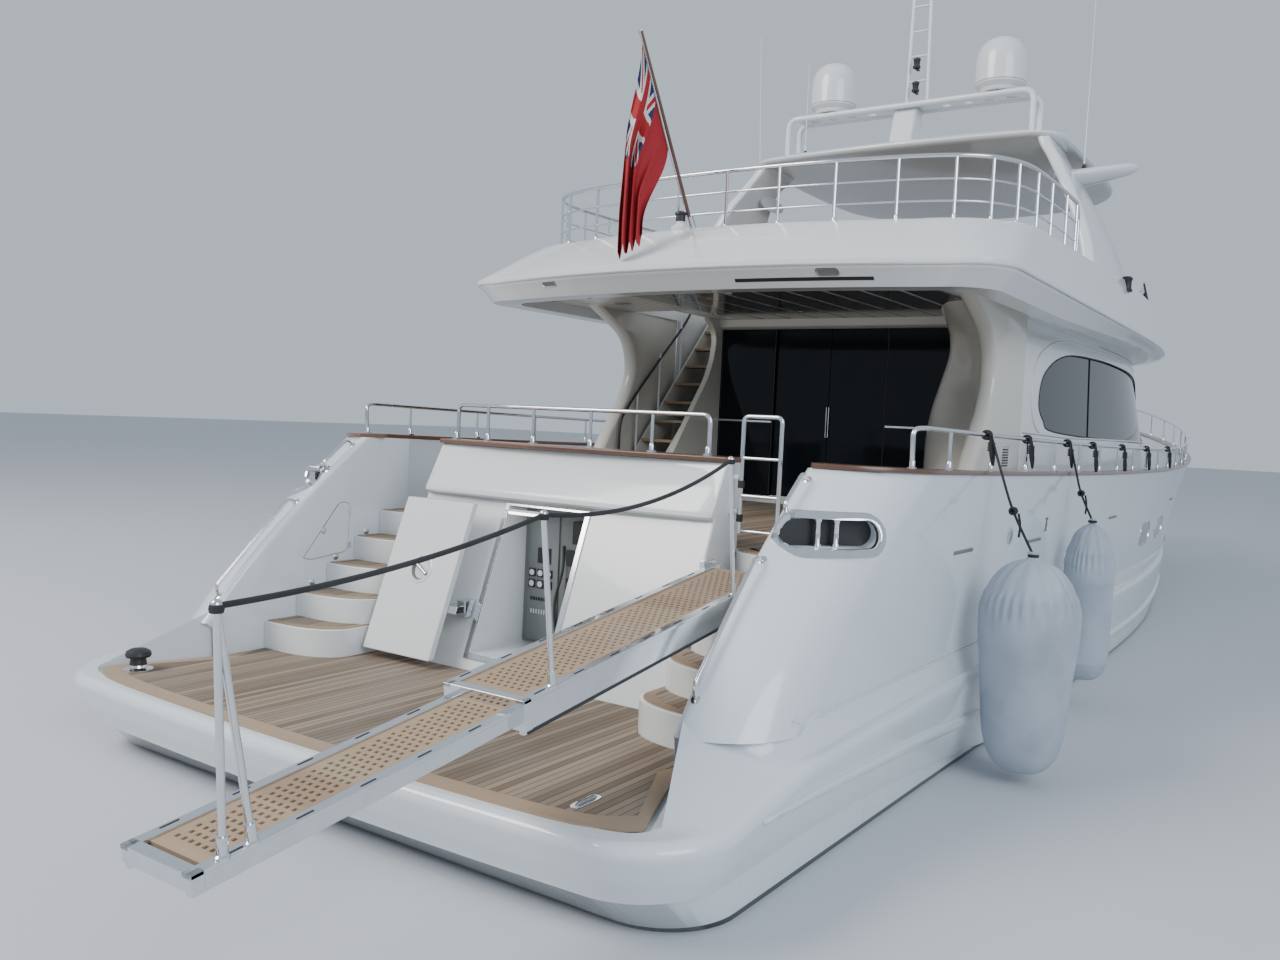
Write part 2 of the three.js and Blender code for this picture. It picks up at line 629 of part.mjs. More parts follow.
const roofLow = {
  sternX: -3700, camber: 150, corner: 500, aft: 2180, wide: 2200, bowX: 1500, full: 4, nose: 0.42,
  z: () => hardtopZ,
};
const roofMid = { ...roofLow, sternX: -3760, aft: 2240, wide: 2260, bowX: 1600, z: () => hardtopZ + 60 };
const roofTop = { ...roofLow, sternX: -3500, aft: 1900, wide: 1920, bowX: 1300, z: () => hardtopZ + 170 };
add("hardtop", loft([roofLow, roofMid, roofTop]), white);

const mastX = -3050;
const roofTopZ = hardtopZ + 170;
const mastZ = 7520;
const frameHalf = 1800;
const mastLoop = (x) => sweep(
  [[x, -frameHalf, roofTopZ + seat], [x, -frameHalf, mastZ - 80], [x, -frameHalf + 90, mastZ], [x, frameHalf - 90, mastZ],
    [x, frameHalf, mastZ - 80], [x, frameHalf, roofTopZ + seat]], 42, 8,
);
const beamHoles = [-1450, -1150, -850, -550, 550, 850, 1150, 1450].map(
  (y) => bar([mastX, y, mastZ - 50], [mastX, y, mastZ + 5], 62, 14),
);
const beamTop = mastZ + 4;
const mastBeam = beamHoles.reduce(
  (beam, hole) => beam.subtract(hole), block(mastX - 190, mastX + 190, 90 - frameHalf, frameHalf - 90, mastZ - 14, beamTop),
);
const mastPost = plate(
  [[-3350, roofTopZ + seat], [-2950, roofTopZ + seat], [-2900, mastZ], [-3180, mastZ]], "xz", -170, 170,
);
const mastFrame = joined(
  mastLoop(mastX - 190), mastLoop(mastX + 190), mastBeam, mastPost,
  block(mastX - 190, mastX + 190, -1650, -900, mastZ, mastZ + 44),
  block(mastX - 190, mastX + 190, 800, 1550, mastZ, mastZ + 44),
);
add("mast_frame", mastFrame, white);

const ladderY = -120;
const ladderRungs = [7900, 8250, 8600, 8950, 9300, 9650];
const mastLadder = joined(
  ...[-150, 150].map((dy) => bar([mastX, ladderY + dy, beamTop + seat], [mastX, ladderY + dy * 0.75, 9900], 26)),
  ...ladderRungs.map((z) => bar([mastX, ladderY - 140, z], [mastX, ladderY + 140, z], 16)),
  block(mastX - 60, mastX + 60, ladderY - 270, ladderY + 200, beamTop + seat, beamTop + 45),
);
add("mast_ladder", mastLadder, white);

const domeProfile = [[0, 0], [250, 0], [290, 60], [335, 110], [335, 430], [300, 590], [190, 710], [0, 750]];
const dome = (y) => turned(domeProfile, 20, mastX, y, mastZ + 44 + seat);
add("dome_port", dome(1170), white);
add("dome_starboard", dome(-1290), white);

// Flag staff, leaning aft from its socket on the coaming, beside the stern light on its stand

const staffFoot = [-8230, 330, 4860];
const staffTop = [-9300, 400, 6700];
const staff = joined(
  bar(staffFoot, staffTop, 18, 8, 12),
  bar(staffFoot, [staffFoot[0], staffFoot[1], 5030], 34),
  block(-8300, -8190, 290, 430, 4860, 4925),
  block(-8480, -8290, 330, 470, 4600, 4925),
  turned([[0, 0], [62, 0], [62, 20], [45, 28], [45, 110], [66, 120], [30, 160], [0, 164]], 12, -8400, 400, 4920),
);
add("flagstaff", overUpperDeck(staff), capWood);

// Stern gate: a stainless ladder frame, hinged on the starboard edge of the transom block

const gateY = { hinge: -1650, free: -1985 };
const gateZ = { low: 2000, high: 2940 };
const gateX = -10550;
const stile = (y) => bar([gateX, y, gateZ.low], [gateX, y, gateZ.high], 17);
const cross = (z) => bar([gateX, gateY.hinge, z], [gateX, gateY.free, z], 14);
add(
  "stern_gate",
  joined(
    stile(gateY.hinge), stile(gateY.free), ...[gateZ.low + 20, 2300, 2600, gateZ.high - 17].map(cross),
  ),
  steel,
);

// Passerelle: a telescoping gangway at the head of the starboard stair, with its stanchions to starboard.
// It is drawn level with its pivot at the origin, then pitched and set in its place.

const gangway = { x: -11050, y: -1985, z: 1760, pitch: 8 };
const pitched = (solid) => solid.rotate([0, -gangway.pitch, 0]).translate([gangway.x, gangway.y, gangway.z]);
const innerPart = { outboard: -2850, inboard: 50, half: 285, wall: 40, low: -150, high: 40 };
const outerPart = { outboard: -4700, inboard: -1750, half: 235, wall: 45, low: -110, high: -12 };

// Two side members, a floor between them and a cross piece at one end
function gangFrame({ outboard, inboard, half, wall, low, high }, floor, cross) {
  return joined(
    block(outboard, inboard, -half, wall - half, low, high),
    block(outboard, inboard, half - wall, half, low, high),
    block(outboard, inboard, 5 - half, half - 5, floor.low, floor.high),
    block(cross.from, cross.to, -half, half, low, cross.high),
  );
}
const stanchion = (foot, head, y, low) => bar([foot, y, low], [head, y, 960], 16);
const innerStanchion = (x) => stanchion(x, x, 20 - innerPart.half, innerPart.high - 20);
const outerY = 22 - outerPart.half;
const outerHead = outerPart.outboard + 235;
const innerSection = joined(
  gangFrame(innerPart, { low: 0, high: 25 }, { from: -innerPart.wall, to: innerPart.inboard, high: -140 }),
  block(innerPart.outboard, innerPart.inboard, -innerPart.half, innerPart.half, innerPart.low, innerPart.low + 15),
  bar([0, -innerPart.half, -60], [0, innerPart.half, -60], 50),
  innerStanchion(-2600),
  innerStanchion(-640),
);
const slidePad = (side) => block(
  outerPart.inboard - 150, outerPart.inboard - 10, side * 212 - 22, side * 212 + 22,
  innerPart.low + 15 + seat, outerPart.low + 5,
);
const outerSection = joined(
  slidePad(1),
  slidePad(-1),
  gangFrame(outerPart, { low: -60, high: -25 }, { from: outerPart.outboard, to: outerPart.outboard + 60, high: outerPart.high }),
  stanchion(outerPart.outboard + 320, outerHead, outerY, outerPart.high - 20),
  stanchion(outerPart.outboard + 150, outerHead, outerY, outerPart.high - 20),
);
const footY = (out) => [gangway.y - innerPart.half - out, gangway.y + innerPart.half + out];
const footPlate = { from: -11150, to: -10985, z: 1375 + seat };
const footCheek = (y0, y1) => block(footPlate.from, footPlate.to, y0, y1, footPlate.z, gangway.z + 70);
const gangFoot = joined(
  block(footPlate.from, footPlate.to, footY(45)[0], footY(45)[1], footPlate.z, footPlate.z + 30),
  footCheek(footY(45)[0], footY(seat)[0]),
  footCheek(footY(seat)[1], footY(45)[1]),
);
add("passerelle_foot", gangFoot, steel);
add("passerelle_inner", pitched(innerSection), steel);
add("passerelle_outer", pitched(outerSection), steel);

// Stern gear: shafts on brackets, propellers and rudders

const shaftY = 1250;
const shaftRake = 9 * (Math.PI / 180);
const propX = -10900;
const propZ = -1160;
const shaftZ = (x) => propZ + (x - propX) * Math.tan(shaftRake);
const hubFace = 90;
const shaftEnd = propX + (hubFace + seat) * Math.cos(shaftRake);
function shaft(side) {
  const y = side * shaftY;
  return joined(
    bar([-7000, y, shaftZ(-7000)], [shaftEnd, y, shaftZ(shaftEnd)], 42),
    plate([[-10740, -1210], [-10500, -1170], [-10300, -480], [-10560, -480]], "xz", y - 22, y + 22),
    bar([-10480, y, shaftZ(-10480)], [-10760, y, shaftZ(-10760)], 80),
  ).subtract(hull.translate([0, 0, -seat]));
}
add("shaft_port", shaft(1), steel);
add("shaft_starboard", shaft(-1), steel);

function propeller(side) {
  const hubProfile = [[0, -hubFace], [62, -hubFace], [78, -40], [78, 60], [50, 95], [0, 95]];
  const hub = solidOf(
    new THREE.LatheGeometry(hubProfile.map(([r, z]) => new THREE.Vector2(r, z)), 16).rotateZ(Math.PI / 2),
  );
  const blade = [[-40, 30], [-130, 180], [-115, 310], [0, 370], [105, 310], [90, 160], [40, 30]];
  const blades = [0, 90, 180, 270].map((turn) =>
    plate(blade, "xz", -9, 9).rotate([0, 0, side * 62]).rotate([turn, 0, 0]),
  );
  return joined(hub, ...blades)
    .rotate([0, (-shaftRake * 180) / Math.PI, 0])
    .translate([propX, side * shaftY, propZ]);
}
add("propeller_port", propeller(1), bronze);
add("propeller_starboard", propeller(-1), bronze);

function rudder(side) {
  const { x, radius, bossZ } = rudderStock;
  const y = side * rudderStock.y;
  const section = [[-300, 0], [0, 34], [170, 26], [210, 0], [170, -26], [0, -34]];
  const blade = plate(section.map(([dx, dy]) => [x + dx, y + dy]), "xy", -1500, -775);
  return joined(blade, bar([x, y, -800], [x, y, bossZ - seat], radius));
}
add("rudder_port", rudder(1), bronze);
add("rudder_starboard", rudder(-1), bronze);

// Foredeck: windlass, hatch and anchor

const overHull = (solid) => solid.subtract(hull.translate([0, 0, seat]));
add("windlass", overHull(joined(
  block(11300, 11750, -260, 260, deckLine(11300) - 60, deckLine(11750) + 110),
  bar([11520, -260, deckLine(11520) + 180], [11520, 260, deckLine(11520) + 180], 120, 12),
)), steel);

const hatchX = { hinge: 10150, free: 9450 };
const hatchTop = deckLine(hatchX.free) + 120;
add("hatch_coaming", overHull(
  block(hatchX.free - 40, hatchX.hinge + 40, -390, 390, deckLine(hatchX.free) - 200, hatchTop).subtract(
    block(hatchX.free, hatchX.hinge, -350, 350, deckLine(hatchX.free) + 60, hatchTop + 10),
  ),
), white);
const hatchPane = block(hatchX.free - 40, hatchX.hinge + 40, -390, 390, hatchTop + seat, hatchTop + 45);
add("foredeck_hatch", hatchPane, darkGlass);

// Anchor, stowed on its roller over the stem

const rollerZ = cap.z[2] + 36 + 2 * seat;
add("anchor", joined(
  block(13350, 14110, -55, 55, rollerZ, rollerZ + 50),
  plate([[13960, rollerZ + 40], [14110, rollerZ + 40], [14120, 3020], [13940, 3100]], "xz", -28, 28),
  plate([[13930, 3260], [14090, 3300], [14110, 2960], [13930, 3060]], "xz", -190, 190),
), steel);

// Engine room door, swung clear on its arm, and the polished frame of its doorway

const doorFrame = block(-11400, -10300, doorway.starboard - 45, doorway.port + 45, doorway.low - 45, doorway.high + 45)
  .subtract(block(-12000, -10000, doorway.starboard + 2, doorway.port - 2, doorway.low + 2, doorway.high - 2));
const slopeShell = (near, far) => plate(
  [[lean(600) - far, 600], [lean(2300) - far, 2300], [lean(2300) - near, 2300], [lean(600) - near, 600]],
  "xz", -2000, 2000,
);
add("doorway_frame", doorFrame.intersect(slopeShell(seat, 14)), steel);
const doorPlan = { port: 1500, starboard: 690 };
const doorSlab = block(-12000, -10000, doorPlan.starboard, doorPlan.port, doorway.low - 60, doorway.high + 10);
const handleWell = bar([-12000, 1080, 1470], [-10000, 1080, 1470], 120, 20).intersect(slopeShell(250, 320));
add("engine_door", doorSlab.intersect(slopeShell(230, 300)).subtract(handleWell.translate([-25, 0, 0])), white);
add("door_arm", joined(
  block(lean(1130) - 240, lean(1190) - 20, 600, 760, 1130, 1190),
  block(lean(1090) - 100, lean(1230), 590, 690, 1090, 1230),
).intersect(slopeShell(2 * seat, 230 - 2 * seat)), steel);

// Quarter handrails, two to a side, standing on the sloping edges of the quarter wings

const wingY = innerWing + 70;
const wingEdge = [groove, topside, cap].map((level) => {
  const ring = halfRing(level);
  const next = ring.findIndex(([, y]) => y > wingY);
  const [[x0, y0], [x1, y1]] = [ring[next - 1], ring[next]];
  return [x0 + ((x1 - x0) * (wingY - y0)) / (y1 - y0), level.z[0]];
});
function onWing(z) {
  const [low, high] = z < wingEdge[1][1] ? wingEdge : wingEdge.slice(1);
  return [low[0] + ((high[0] - low[0]) * (z - low[1])) / (high[1] - low[1]), z];
}
function wingRail(side, lowZ, highZ) {
  const off = ([x, z], out) => [x - out * 0.68, side * wingY, z + out * 0.73];
  const [a, b] = [onWing(lowZ), onWing(highZ)];
  const rail = sweep([off(a, -40), off(a, 75), off(b, 75), off(b, -40)], 17);
  return rail.subtract(hull.translate([-seat, 0, seat]));
}
[["port", 1], ["starboard", -1]].forEach(([name, side]) => {
  add("wing_rail_low_" + name, wingRail(side, 1160, 1960), steel);
  add("wing_rail_high_" + name, wingRail(side, 2250, 2490), steel);
});

// Fenders, hung on their lanyards from the starboard rail

const fenders = [
  { name: "fender_aft", x: -8950, y: -3540, radius: 400, low: 90, high: 1930, knot: -8650 },
  { name: "fender_forward", x: -6020, y: -3425, radius: 252, low: 330, high: 2050, knot: -5700 },
];
const starboardRail = sideRail(-1);
const starboardCap = capStrip(-1);
const railRing = halfRing(cap).filter(([, y]) => y > 3000);
function railAt(x) {
  const beam = along(railRing.map(([at, y]) => [at, y]), x);
  const capTop = along(railRing.map(([at, , z]) => [at, z]), x) + 36;
  return [70 - beam, capTop + 310];
}
fenders.forEach(({ name, x, y, radius, low, high, knot: knotX }) => {
  const tall = high - low;
  const profile = [
    [0, 0], [radius * 0.5, 30], [radius * 0.86, 150], [radius, 340], [radius, tall - 480],
    [radius * 0.9, tall - 260],
    [radius * 0.6, tall - 90], [50, tall], [50, tall + 90], [0, tall + 90],
  ];
  const [railY, railZ] = railAt(knotX);
  const lanyard = sweep([[x, y, high + 60], [knotX - 30, -3265, 2620], [knotX, railY - 42, railZ + 10]], 13);
  const knot = bar([knotX - 35, railY, railZ], [knotX + 35, railY, railZ], 52, 10);
  const hung = joined(turned(profile, 20, x, y, low), lanyard, knot);
  add(name, clearOf(clearOf(hung, starboardRail), starboardCap), fabric);
});

// Upper deck fittings: helm console with its wheel, windscreen, settee

const consolePlan = [
  [700, upperDeckZ + seat], [1900, upperDeckZ + seat], [1900, 5350], [1500, 5620], [1050, 5580], [700, 5150],
];
add("helm_console", plate(consolePlan, "xz", -850, 350), white);
const wheelAt = [777, -250, 5387];
const wheelTilt = 39.1;
const wheelRim = new THREE.TorusGeometry(190, 16, 6, 20).rotateY(Math.PI / 2);
const helmWheel = joined(
  solidOf(wheelRim), bar([0, -190, 0], [0, 190, 0], 11, 6), bar([0, 0, -190], [0, 0, 190], 11, 6),
  bar([-14, 0, 0], [89.6, 0, 0], 34, 12),
).rotate([0, wheelTilt, 0]).translate(wheelAt);
add("helm_wheel", helmWheel, black);

const screenRings = (gap, low, high) => [
  { ...inset(fascia, 60 + gap), bowX: 4500 - gap, z: (x) => coamingAt(x) - low },
  { ...inset(fascia, 150 + gap), bowX: 3900 - gap, z: () => high },
];
const flyScreen = loft(screenRings(0, 40, 5420)).subtract(loft(screenRings(34, 60, 5430)));
add("fly_windscreen", overUpperDeck(flyScreen).intersect(block(600, 6000, -3500, 3500, 4000, 6000)), darkGlass);

const settee = joined(
  block(-2300, 300, 1400, 2100, upperDeckZ + seat, 5100),
  block(-2300, 300, 1930, 2100, 5000, 5480),
  block(-2300, -1650, 500, 1700, upperDeckZ + seat, 5100),
);
add("fly_settee", settee, fabric);

// Ensign, hanging in folds from its staff

const flagFold = [[0, 0], [-40, 60], [30, 120], [-30, 190], [35, 250], [-10, 300]];
const flagTop = 6350;
const flagHoist = [-9089, 399.3];
const flagEdge = (shift) => flagFold.map(([x, y]) => [x + flagHoist[0] + shift, y + flagHoist[1]]);
const flagOutline = [...flagEdge(-10), ...flagEdge(10).reverse()];
add("flag", plate(flagOutline, "xy", 5000, flagTop), red);

export default yacht;
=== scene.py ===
# A 28 m motor yacht moored stern-to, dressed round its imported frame.
# Metres: +X to the bow, +Y to port, z 0 at the waterline.

import json
from math import atan2, cos, pi, radians, sin

import bmesh
import bpy
import numpy as np
from mathutils import Matrix, Vector
from mathutils.bvhtree import BVHTree

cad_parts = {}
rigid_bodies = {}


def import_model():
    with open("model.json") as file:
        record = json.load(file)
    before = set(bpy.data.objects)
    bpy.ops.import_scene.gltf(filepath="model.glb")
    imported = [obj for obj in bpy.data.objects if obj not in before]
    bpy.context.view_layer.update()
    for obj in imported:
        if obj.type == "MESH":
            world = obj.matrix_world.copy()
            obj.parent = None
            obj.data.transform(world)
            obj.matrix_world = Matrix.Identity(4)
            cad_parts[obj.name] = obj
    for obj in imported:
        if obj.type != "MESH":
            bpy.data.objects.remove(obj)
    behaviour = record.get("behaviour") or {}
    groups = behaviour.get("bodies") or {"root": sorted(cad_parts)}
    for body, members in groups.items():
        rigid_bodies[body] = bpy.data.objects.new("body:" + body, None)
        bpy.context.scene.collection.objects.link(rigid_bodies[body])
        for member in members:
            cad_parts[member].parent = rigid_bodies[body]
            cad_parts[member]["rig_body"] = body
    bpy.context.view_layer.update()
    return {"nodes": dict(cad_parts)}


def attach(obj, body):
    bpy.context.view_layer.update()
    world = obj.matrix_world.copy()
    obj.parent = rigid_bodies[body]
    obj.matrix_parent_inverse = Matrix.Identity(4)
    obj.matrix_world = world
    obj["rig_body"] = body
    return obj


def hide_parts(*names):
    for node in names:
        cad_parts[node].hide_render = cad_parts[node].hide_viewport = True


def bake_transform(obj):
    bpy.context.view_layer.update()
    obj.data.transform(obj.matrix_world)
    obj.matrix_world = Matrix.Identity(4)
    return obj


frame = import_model()


# One socket of a node tree. Arithmetic on it adds Math nodes, and node() adds any other node.
class Wire:
    def __init__(self, tree, socket=None):
        self.tree = tree
        self.socket = socket

    def node(self, kind, settings=None, values=None, out=0):
        made = self.tree.nodes.new(kind)
        for name, value in (settings or {}).items():
            if name == "stops":
                ramp = made.color_ramp
                while len(ramp.elements) < len(value):
                    ramp.elements.new(0.5)
                for element, (place, colour) in zip(ramp.elements, value):
                    element.position = place
                    element.color = (*colour, 1)
            else:
                setattr(made, name, value)
        for key, value in (values or {}).items():
            if isinstance(value, Wire):
                self.tree.links.new(value.socket, made.inputs[key])
            else:
                made.inputs[key].default_value = value
        return Wire(self.tree, made.outputs[out])

    def maths(self, operation, *others):
        return self.node("ShaderNodeMath", {"operation": operation}, dict(enumerate((self, *others))))

    def __add__(self, other):
        return self.maths("ADD", other)

    def __mul__(self, other):
        return self.maths("MULTIPLY", other)

    def __sub__(self, other):
        return self.maths("SUBTRACT", other)

    def __truediv__(self, other):
        return self.maths("DIVIDE", other)

    def __rsub__(self, other):
        return self * -1 + other

    __radd__ = __add__
    __rmul__ = __mul__

    def axis(self, index):
        return self.node("ShaderNodeSeparateXYZ", {}, {0: self}, index)

    def stretch(self, x, y, z):
        return self.node("ShaderNodeVectorMath", {"operation": "MULTIPLY"}, {0: self, 1: (x, y, z)})

    def noise(self, scale=1, detail=3, rough=0.5):
        return self.node(
            "ShaderNodeTexNoise", {}, {"Vector": self, "Scale": scale, "Detail": detail, "Roughness": rough},
        )

    def ramp(self, low, high, first=0, last=1):
        settings = {"interpolation_type": "SMOOTHSTEP"}
        return self.node("ShaderNodeMapRange", settings, {0: self, 1: low, 2: high, 3: first, 4: last})

    def blend(self, one, two):
        rgba = [c if isinstance(c, Wire) else (*c, 1) for c in (one, two)]
        return self.node("ShaderNodeMix", {"data_type": "RGBA"}, {0: self, 6: rgba[0], 7: rgba[1]}, 2)

    def random(self):
        return self.node("ShaderNodeTexWhiteNoise", {"noise_dimensions": "1D"}, {"W": self})


# Finishes: each is a material with the slot of the record that it stands for
finishes = {}


def finish(name, slot, fixed, vary, bump=0.001):
    material = bpy.data.materials.new(name)
    material.use_nodes = True
    tree = material.node_tree
    shader = tree.nodes["Principled BSDF"]
    for key, value in fixed.items():
        shader.inputs[key].default_value = value
    place = Wire(tree).node("ShaderNodeTexCoord", out="Object")
    for key, value in vary(place).items():
        if key == "Height":
            key = "Normal"
            value = place.node("ShaderNodeBump", {}, {"Strength": 0.6, "Distance": bump, "Height": value})
        tree.links.new(value.socket, shader.inputs[key])
    finishes[name] = (material, slot)
    return material


def gelcoatLook(clean, grime, waterline=True):
    def vary(place):
        cloud = place.noise(0.5, 4)
        streak = place.stretch(9, 9, 0.5).noise(1, 4, 0.6).ramp(0.58, 0.85)
        height = place.axis(2)
        low = height.ramp(0, 0.7, 1, 0)
        dirt = (streak * (low * 0.5 + 0.12)).ramp(0, 1)
        colour = dirt.blend(cloud.blend(clean, [c * 0.94 for c in clean]), grime)
        if waterline:
            colour = height.ramp(0.035, 0.04, 1, 0).blend(colour, (0.02, 0.022, 0.028))
        rough = cloud * 0.1 + dirt * 0.3 + 0.1
        return {"Base Color": colour, "Roughness": rough, "Height": place.noise(2.2, 2)}
    return vary


finish(
    "hullGelcoat", "gelcoat", {"Coat Weight": 0.6, "Coat Roughness": 0.05},
    gelcoatLook((0.72, 0.77, 0.8), (0.36, 0.36, 0.33)), 0.004,
)
finish(
    "mouldedWhite", "moulded_white", {"Coat Weight": 0.3},
    gelcoatLook((0.74, 0.76, 0.76), (0.45, 0.43, 0.38), False), 0.002,
)
# A cream copy of the moulded white, darker for the parts under the overhang: cream tone with painted shade
finish(
    "creamMoulding", "moulded_white", {"Coat Weight": 0.15},
    gelcoatLook((0.62, 0.6, 0.54), (0.36, 0.33, 0.27), False), 0.002,
)
finish(
    "whitePaint", "white_paint", {"Coat Weight": 0.2},
    gelcoatLook((0.72, 0.75, 0.76), (0.4, 0.4, 0.38), False), 0.001,
)


def plankLook(width, tones, caulk, along=0, rough=0.75):
    across = 1 - along

    def vary(place):
        lane = place.axis(across) / width
        plank = lane.maths("FLOOR")
        edge = (lane - plank - 0.5).maths("ABSOLUTE")
        seam = edge.ramp(0.44, 0.47)
        scale = (1.2, 26, 26) if along == 0 else (26, 1.2, 26)
        grain = place.stretch(*scale).noise(1.4, 6, 0.65)
        broad = place.stretch(*[s * 0.4 for s in scale]).noise(0.5, 3)
        tint = plank.random() * 0.5 + grain * 0.35 + broad * 0.25
        wood = tint.ramp(0.25, 0.85).blend(tones[0], tones[1])
        weather = place.noise(0.9, 4).ramp(0.45, 0.75, 0, 0.45)
        wood = weather.blend(wood, tones[2])
        return {
            "Base Color": seam.blend(wood, caulk),
            "Roughness": grain * 0.2 + rough - 0.1,
            "Height": grain * 0.25 - seam,
        }
    return vary


teakTones = [(0.16, 0.115, 0.078), (0.33, 0.255, 0.185), (0.24, 0.215, 0.185)]
finish("deckTeak", "deck_teak", {}, plankLook(0.058, teakTones, (0.03, 0.028, 0.026)), 0.0015)
marginTones = [(0.3, 0.21, 0.14), (0.42, 0.31, 0.21), (0.3, 0.26, 0.21)]
finish("marginTeak", "deck_teak", {}, plankLook(3, marginTones, (0.3, 0.21, 0.14), 1), 0.001)
capTones = [(0.1, 0.042, 0.022), (0.19, 0.09, 0.048), (0.13, 0.07, 0.045)]
finish(
    "varnishedTeak", "varnished_teak", {"Coat Weight": 0.5, "Coat Roughness": 0.12},
    plankLook(9, capTones, capTones[0], 0, 0.35), 0.0008,
)


def metalLook(colour, rough, spread=0.12, scale=(6, 6, 6)):
    def vary(place):
        smear = place.stretch(*scale).noise(2, 5, 0.6)
        return {
            "Base Color": smear.blend(colour, [c * 0.82 for c in colour]),
            "Roughness": smear * spread + rough,
            "Height": smear,
        }
    return vary


finish("stainless", "stainless", {"Metallic": 1}, metalLook((0.8, 0.82, 0.84), 0.06), 0.0002)
finish("shaftSteel", "shaft_steel", {"Metallic": 1}, metalLook((0.5, 0.5, 0.5), 0.3, 0.2), 0.0004)
finish("bronze", "bronze", {"Metallic": 1}, metalLook((0.56, 0.38, 0.17), 0.28, 0.25), 0.001)
finish(
    "galvanised", "galvanised", {"Metallic": 0.9}, metalLook((0.42, 0.43, 0.44), 0.4, 0.25, (20, 20, 20)),
    0.001,
)


def plainLook(colour, rough, grainScale=180, spread=0.15):
    def vary(place):
        grain = place.noise(grainScale, 3)
        return {
            "Base Color": place.noise(3, 3).blend(colour, [c * 0.75 for c in colour]),
            "Roughness": grain * spread + rough,
            "Height": grain,
        }
    return vary


finish("blackTrim", "black_trim", {}, plainLook((0.02, 0.021, 0.023), 0.4), 0.0004)
finish("darkRubber", "black_trim", {}, plainLook((0.035, 0.035, 0.037), 0.6), 0.0006)
finish(
    "darkGlass", "dark_glass", {"Coat Weight": 1, "Coat Roughness": 0.02, "IOR": 1.5},
    plainLook((0.008, 0.011, 0.015), 0.03, 1.5, 0.03), 0.0004,
)
finish("greyPanel", "black_trim", {}, plainLook((0.2, 0.22, 0.22), 0.45), 0.0004)


def clothLook(colour, dark, thread=900):
    def vary(place):
        weave = place.node(
            "ShaderNodeTexWave", {"wave_type": "BANDS", "bands_direction": "DIAGONAL"},
            {"Vector": place, "Scale": thread, "Distortion": 1.5}, "Fac",
        )
        stain = place.noise(2.5, 5).ramp(0.4, 0.75)
        return {
            "Base Color": (stain * 0.6 + weave * 0.12).blend(colour, dark),
            "Roughness": weave * 0.1 + 0.75,
            "Height": weave + place.noise(30, 4) * 2,
        }
    return vary


finish("blackRope", "black_trim", {}, clothLook((0.02, 0.02, 0.022), (0.045, 0.045, 0.05), 120), 0.002)
finish(
    "darkPanel", "dark_glass", {"Coat Weight": 0.6}, plainLook((0.05, 0.052, 0.056), 0.16, 2, 0.08), 0.0006,
)


def lampLook(place):
    return {"Emission Color": place.noise(2).blend((1, 0.97, 0.9), (1, 0.92, 0.8))}


# Red bunting with a cross canton, drawn on the cloth's own map
def ensignLook(place):
    flat = place.node("ShaderNodeUVMap", {"uv_map": "cloth"})
    across, up = flat.axis(0) * 2, (flat.axis(1) - 0.5) * 2
    u, v = across - 0.5, up - 0.5
    inCanton = across.maths("LESS_THAN", 1) * up.maths("GREATER_THAN", 0)
    near = lambda value, wide: value.maths("ABSOLUTE").maths("LESS_THAN", wide)
    diagonals = lambda wide: near(u - v, wide).maths("MAXIMUM", near(u + v, wide))
    upright = lambda wide: near(u, wide).maths("MAXIMUM", near(v, wide))
    canton = diagonals(0.12).blend((0.012, 0.018, 0.09), (0.6, 0.6, 0.58))
    canton = diagonals(0.045).blend(canton, (0.36, 0.012, 0.018))
    canton = upright(0.17).blend(canton, (0.6, 0.6, 0.58))
    canton = upright(0.1).blend(canton, (0.36, 0.012, 0.018))
    weave = place.noise(260, 2)
    field = place.noise(2.2, 3).blend((0.4, 0.014, 0.022), (0.27, 0.01, 0.016))
    return {"Base Color": inCanton.blend(field, canton), "Roughness": weave * 0.15 + 0.72, "Height": weave}


finish("ensign", "bunting", {}, ensignLook, 0.0004)
finish("tubeLight", "moulded_white", {"Emission Strength": 6, "Roughness": 0.4}, lampLook)
finish("cushionCloth", "cushion", {}, clothLook((0.5, 0.5, 0.47), (0.32, 0.32, 0.3)), 0.0006)
finish(
    "sideGlass", "dark_glass", {"Specular IOR Level": 0.22, "IOR": 1.45},
    plainLook((0.006, 0.009, 0.013), 0.05, 1.5, 0.03), 0.0004,
)
finish("fenderCloth", "cushion", {}, clothLook((0.43, 0.48, 0.54), (0.3, 0.34, 0.39), 500), 0.001)


# Shapes: pairs of vertices and faces
def joined(*shapes):
    points = []
    faces = []
    for verts, sides in shapes:
        base = len(points)
        points.extend(verts)
        faces.extend([tuple(base + i for i in side) for side in sides])
    return points, faces


def block(x0, x1, y0, y1, z0, z1):
    points = [(x, y, z) for x in (x0, x1) for y in sorted((y0, y1)) for z in (z0, z1)]
    return points, [(0, 1, 3, 2), (4, 6, 7, 5), (0, 4, 5, 1), (2, 3, 7, 6), (0, 2, 6, 4), (1, 5, 7, 3)]


# A flat outline given a thickness: "xy" outlines rise from low to high in z, "xz" in y, "yz" in x.
def slab(outline, plane, low, high):
    put = {
        "xy": lambda a, b, c: (a, b, c), "xz": lambda a, b, c: (a, c, b), "yz": lambda a, b, c: (c, a, b),
    }[plane]
    n = len(outline)
    points = [put(a, b, c) for c in (low, high) for a, b in outline]
    sides = [(i, (i + 1) % n, n + (i + 1) % n, n + i) for i in range(n)]
    return points, sides + [tuple(range(n)), tuple(range(n, 2 * n))]


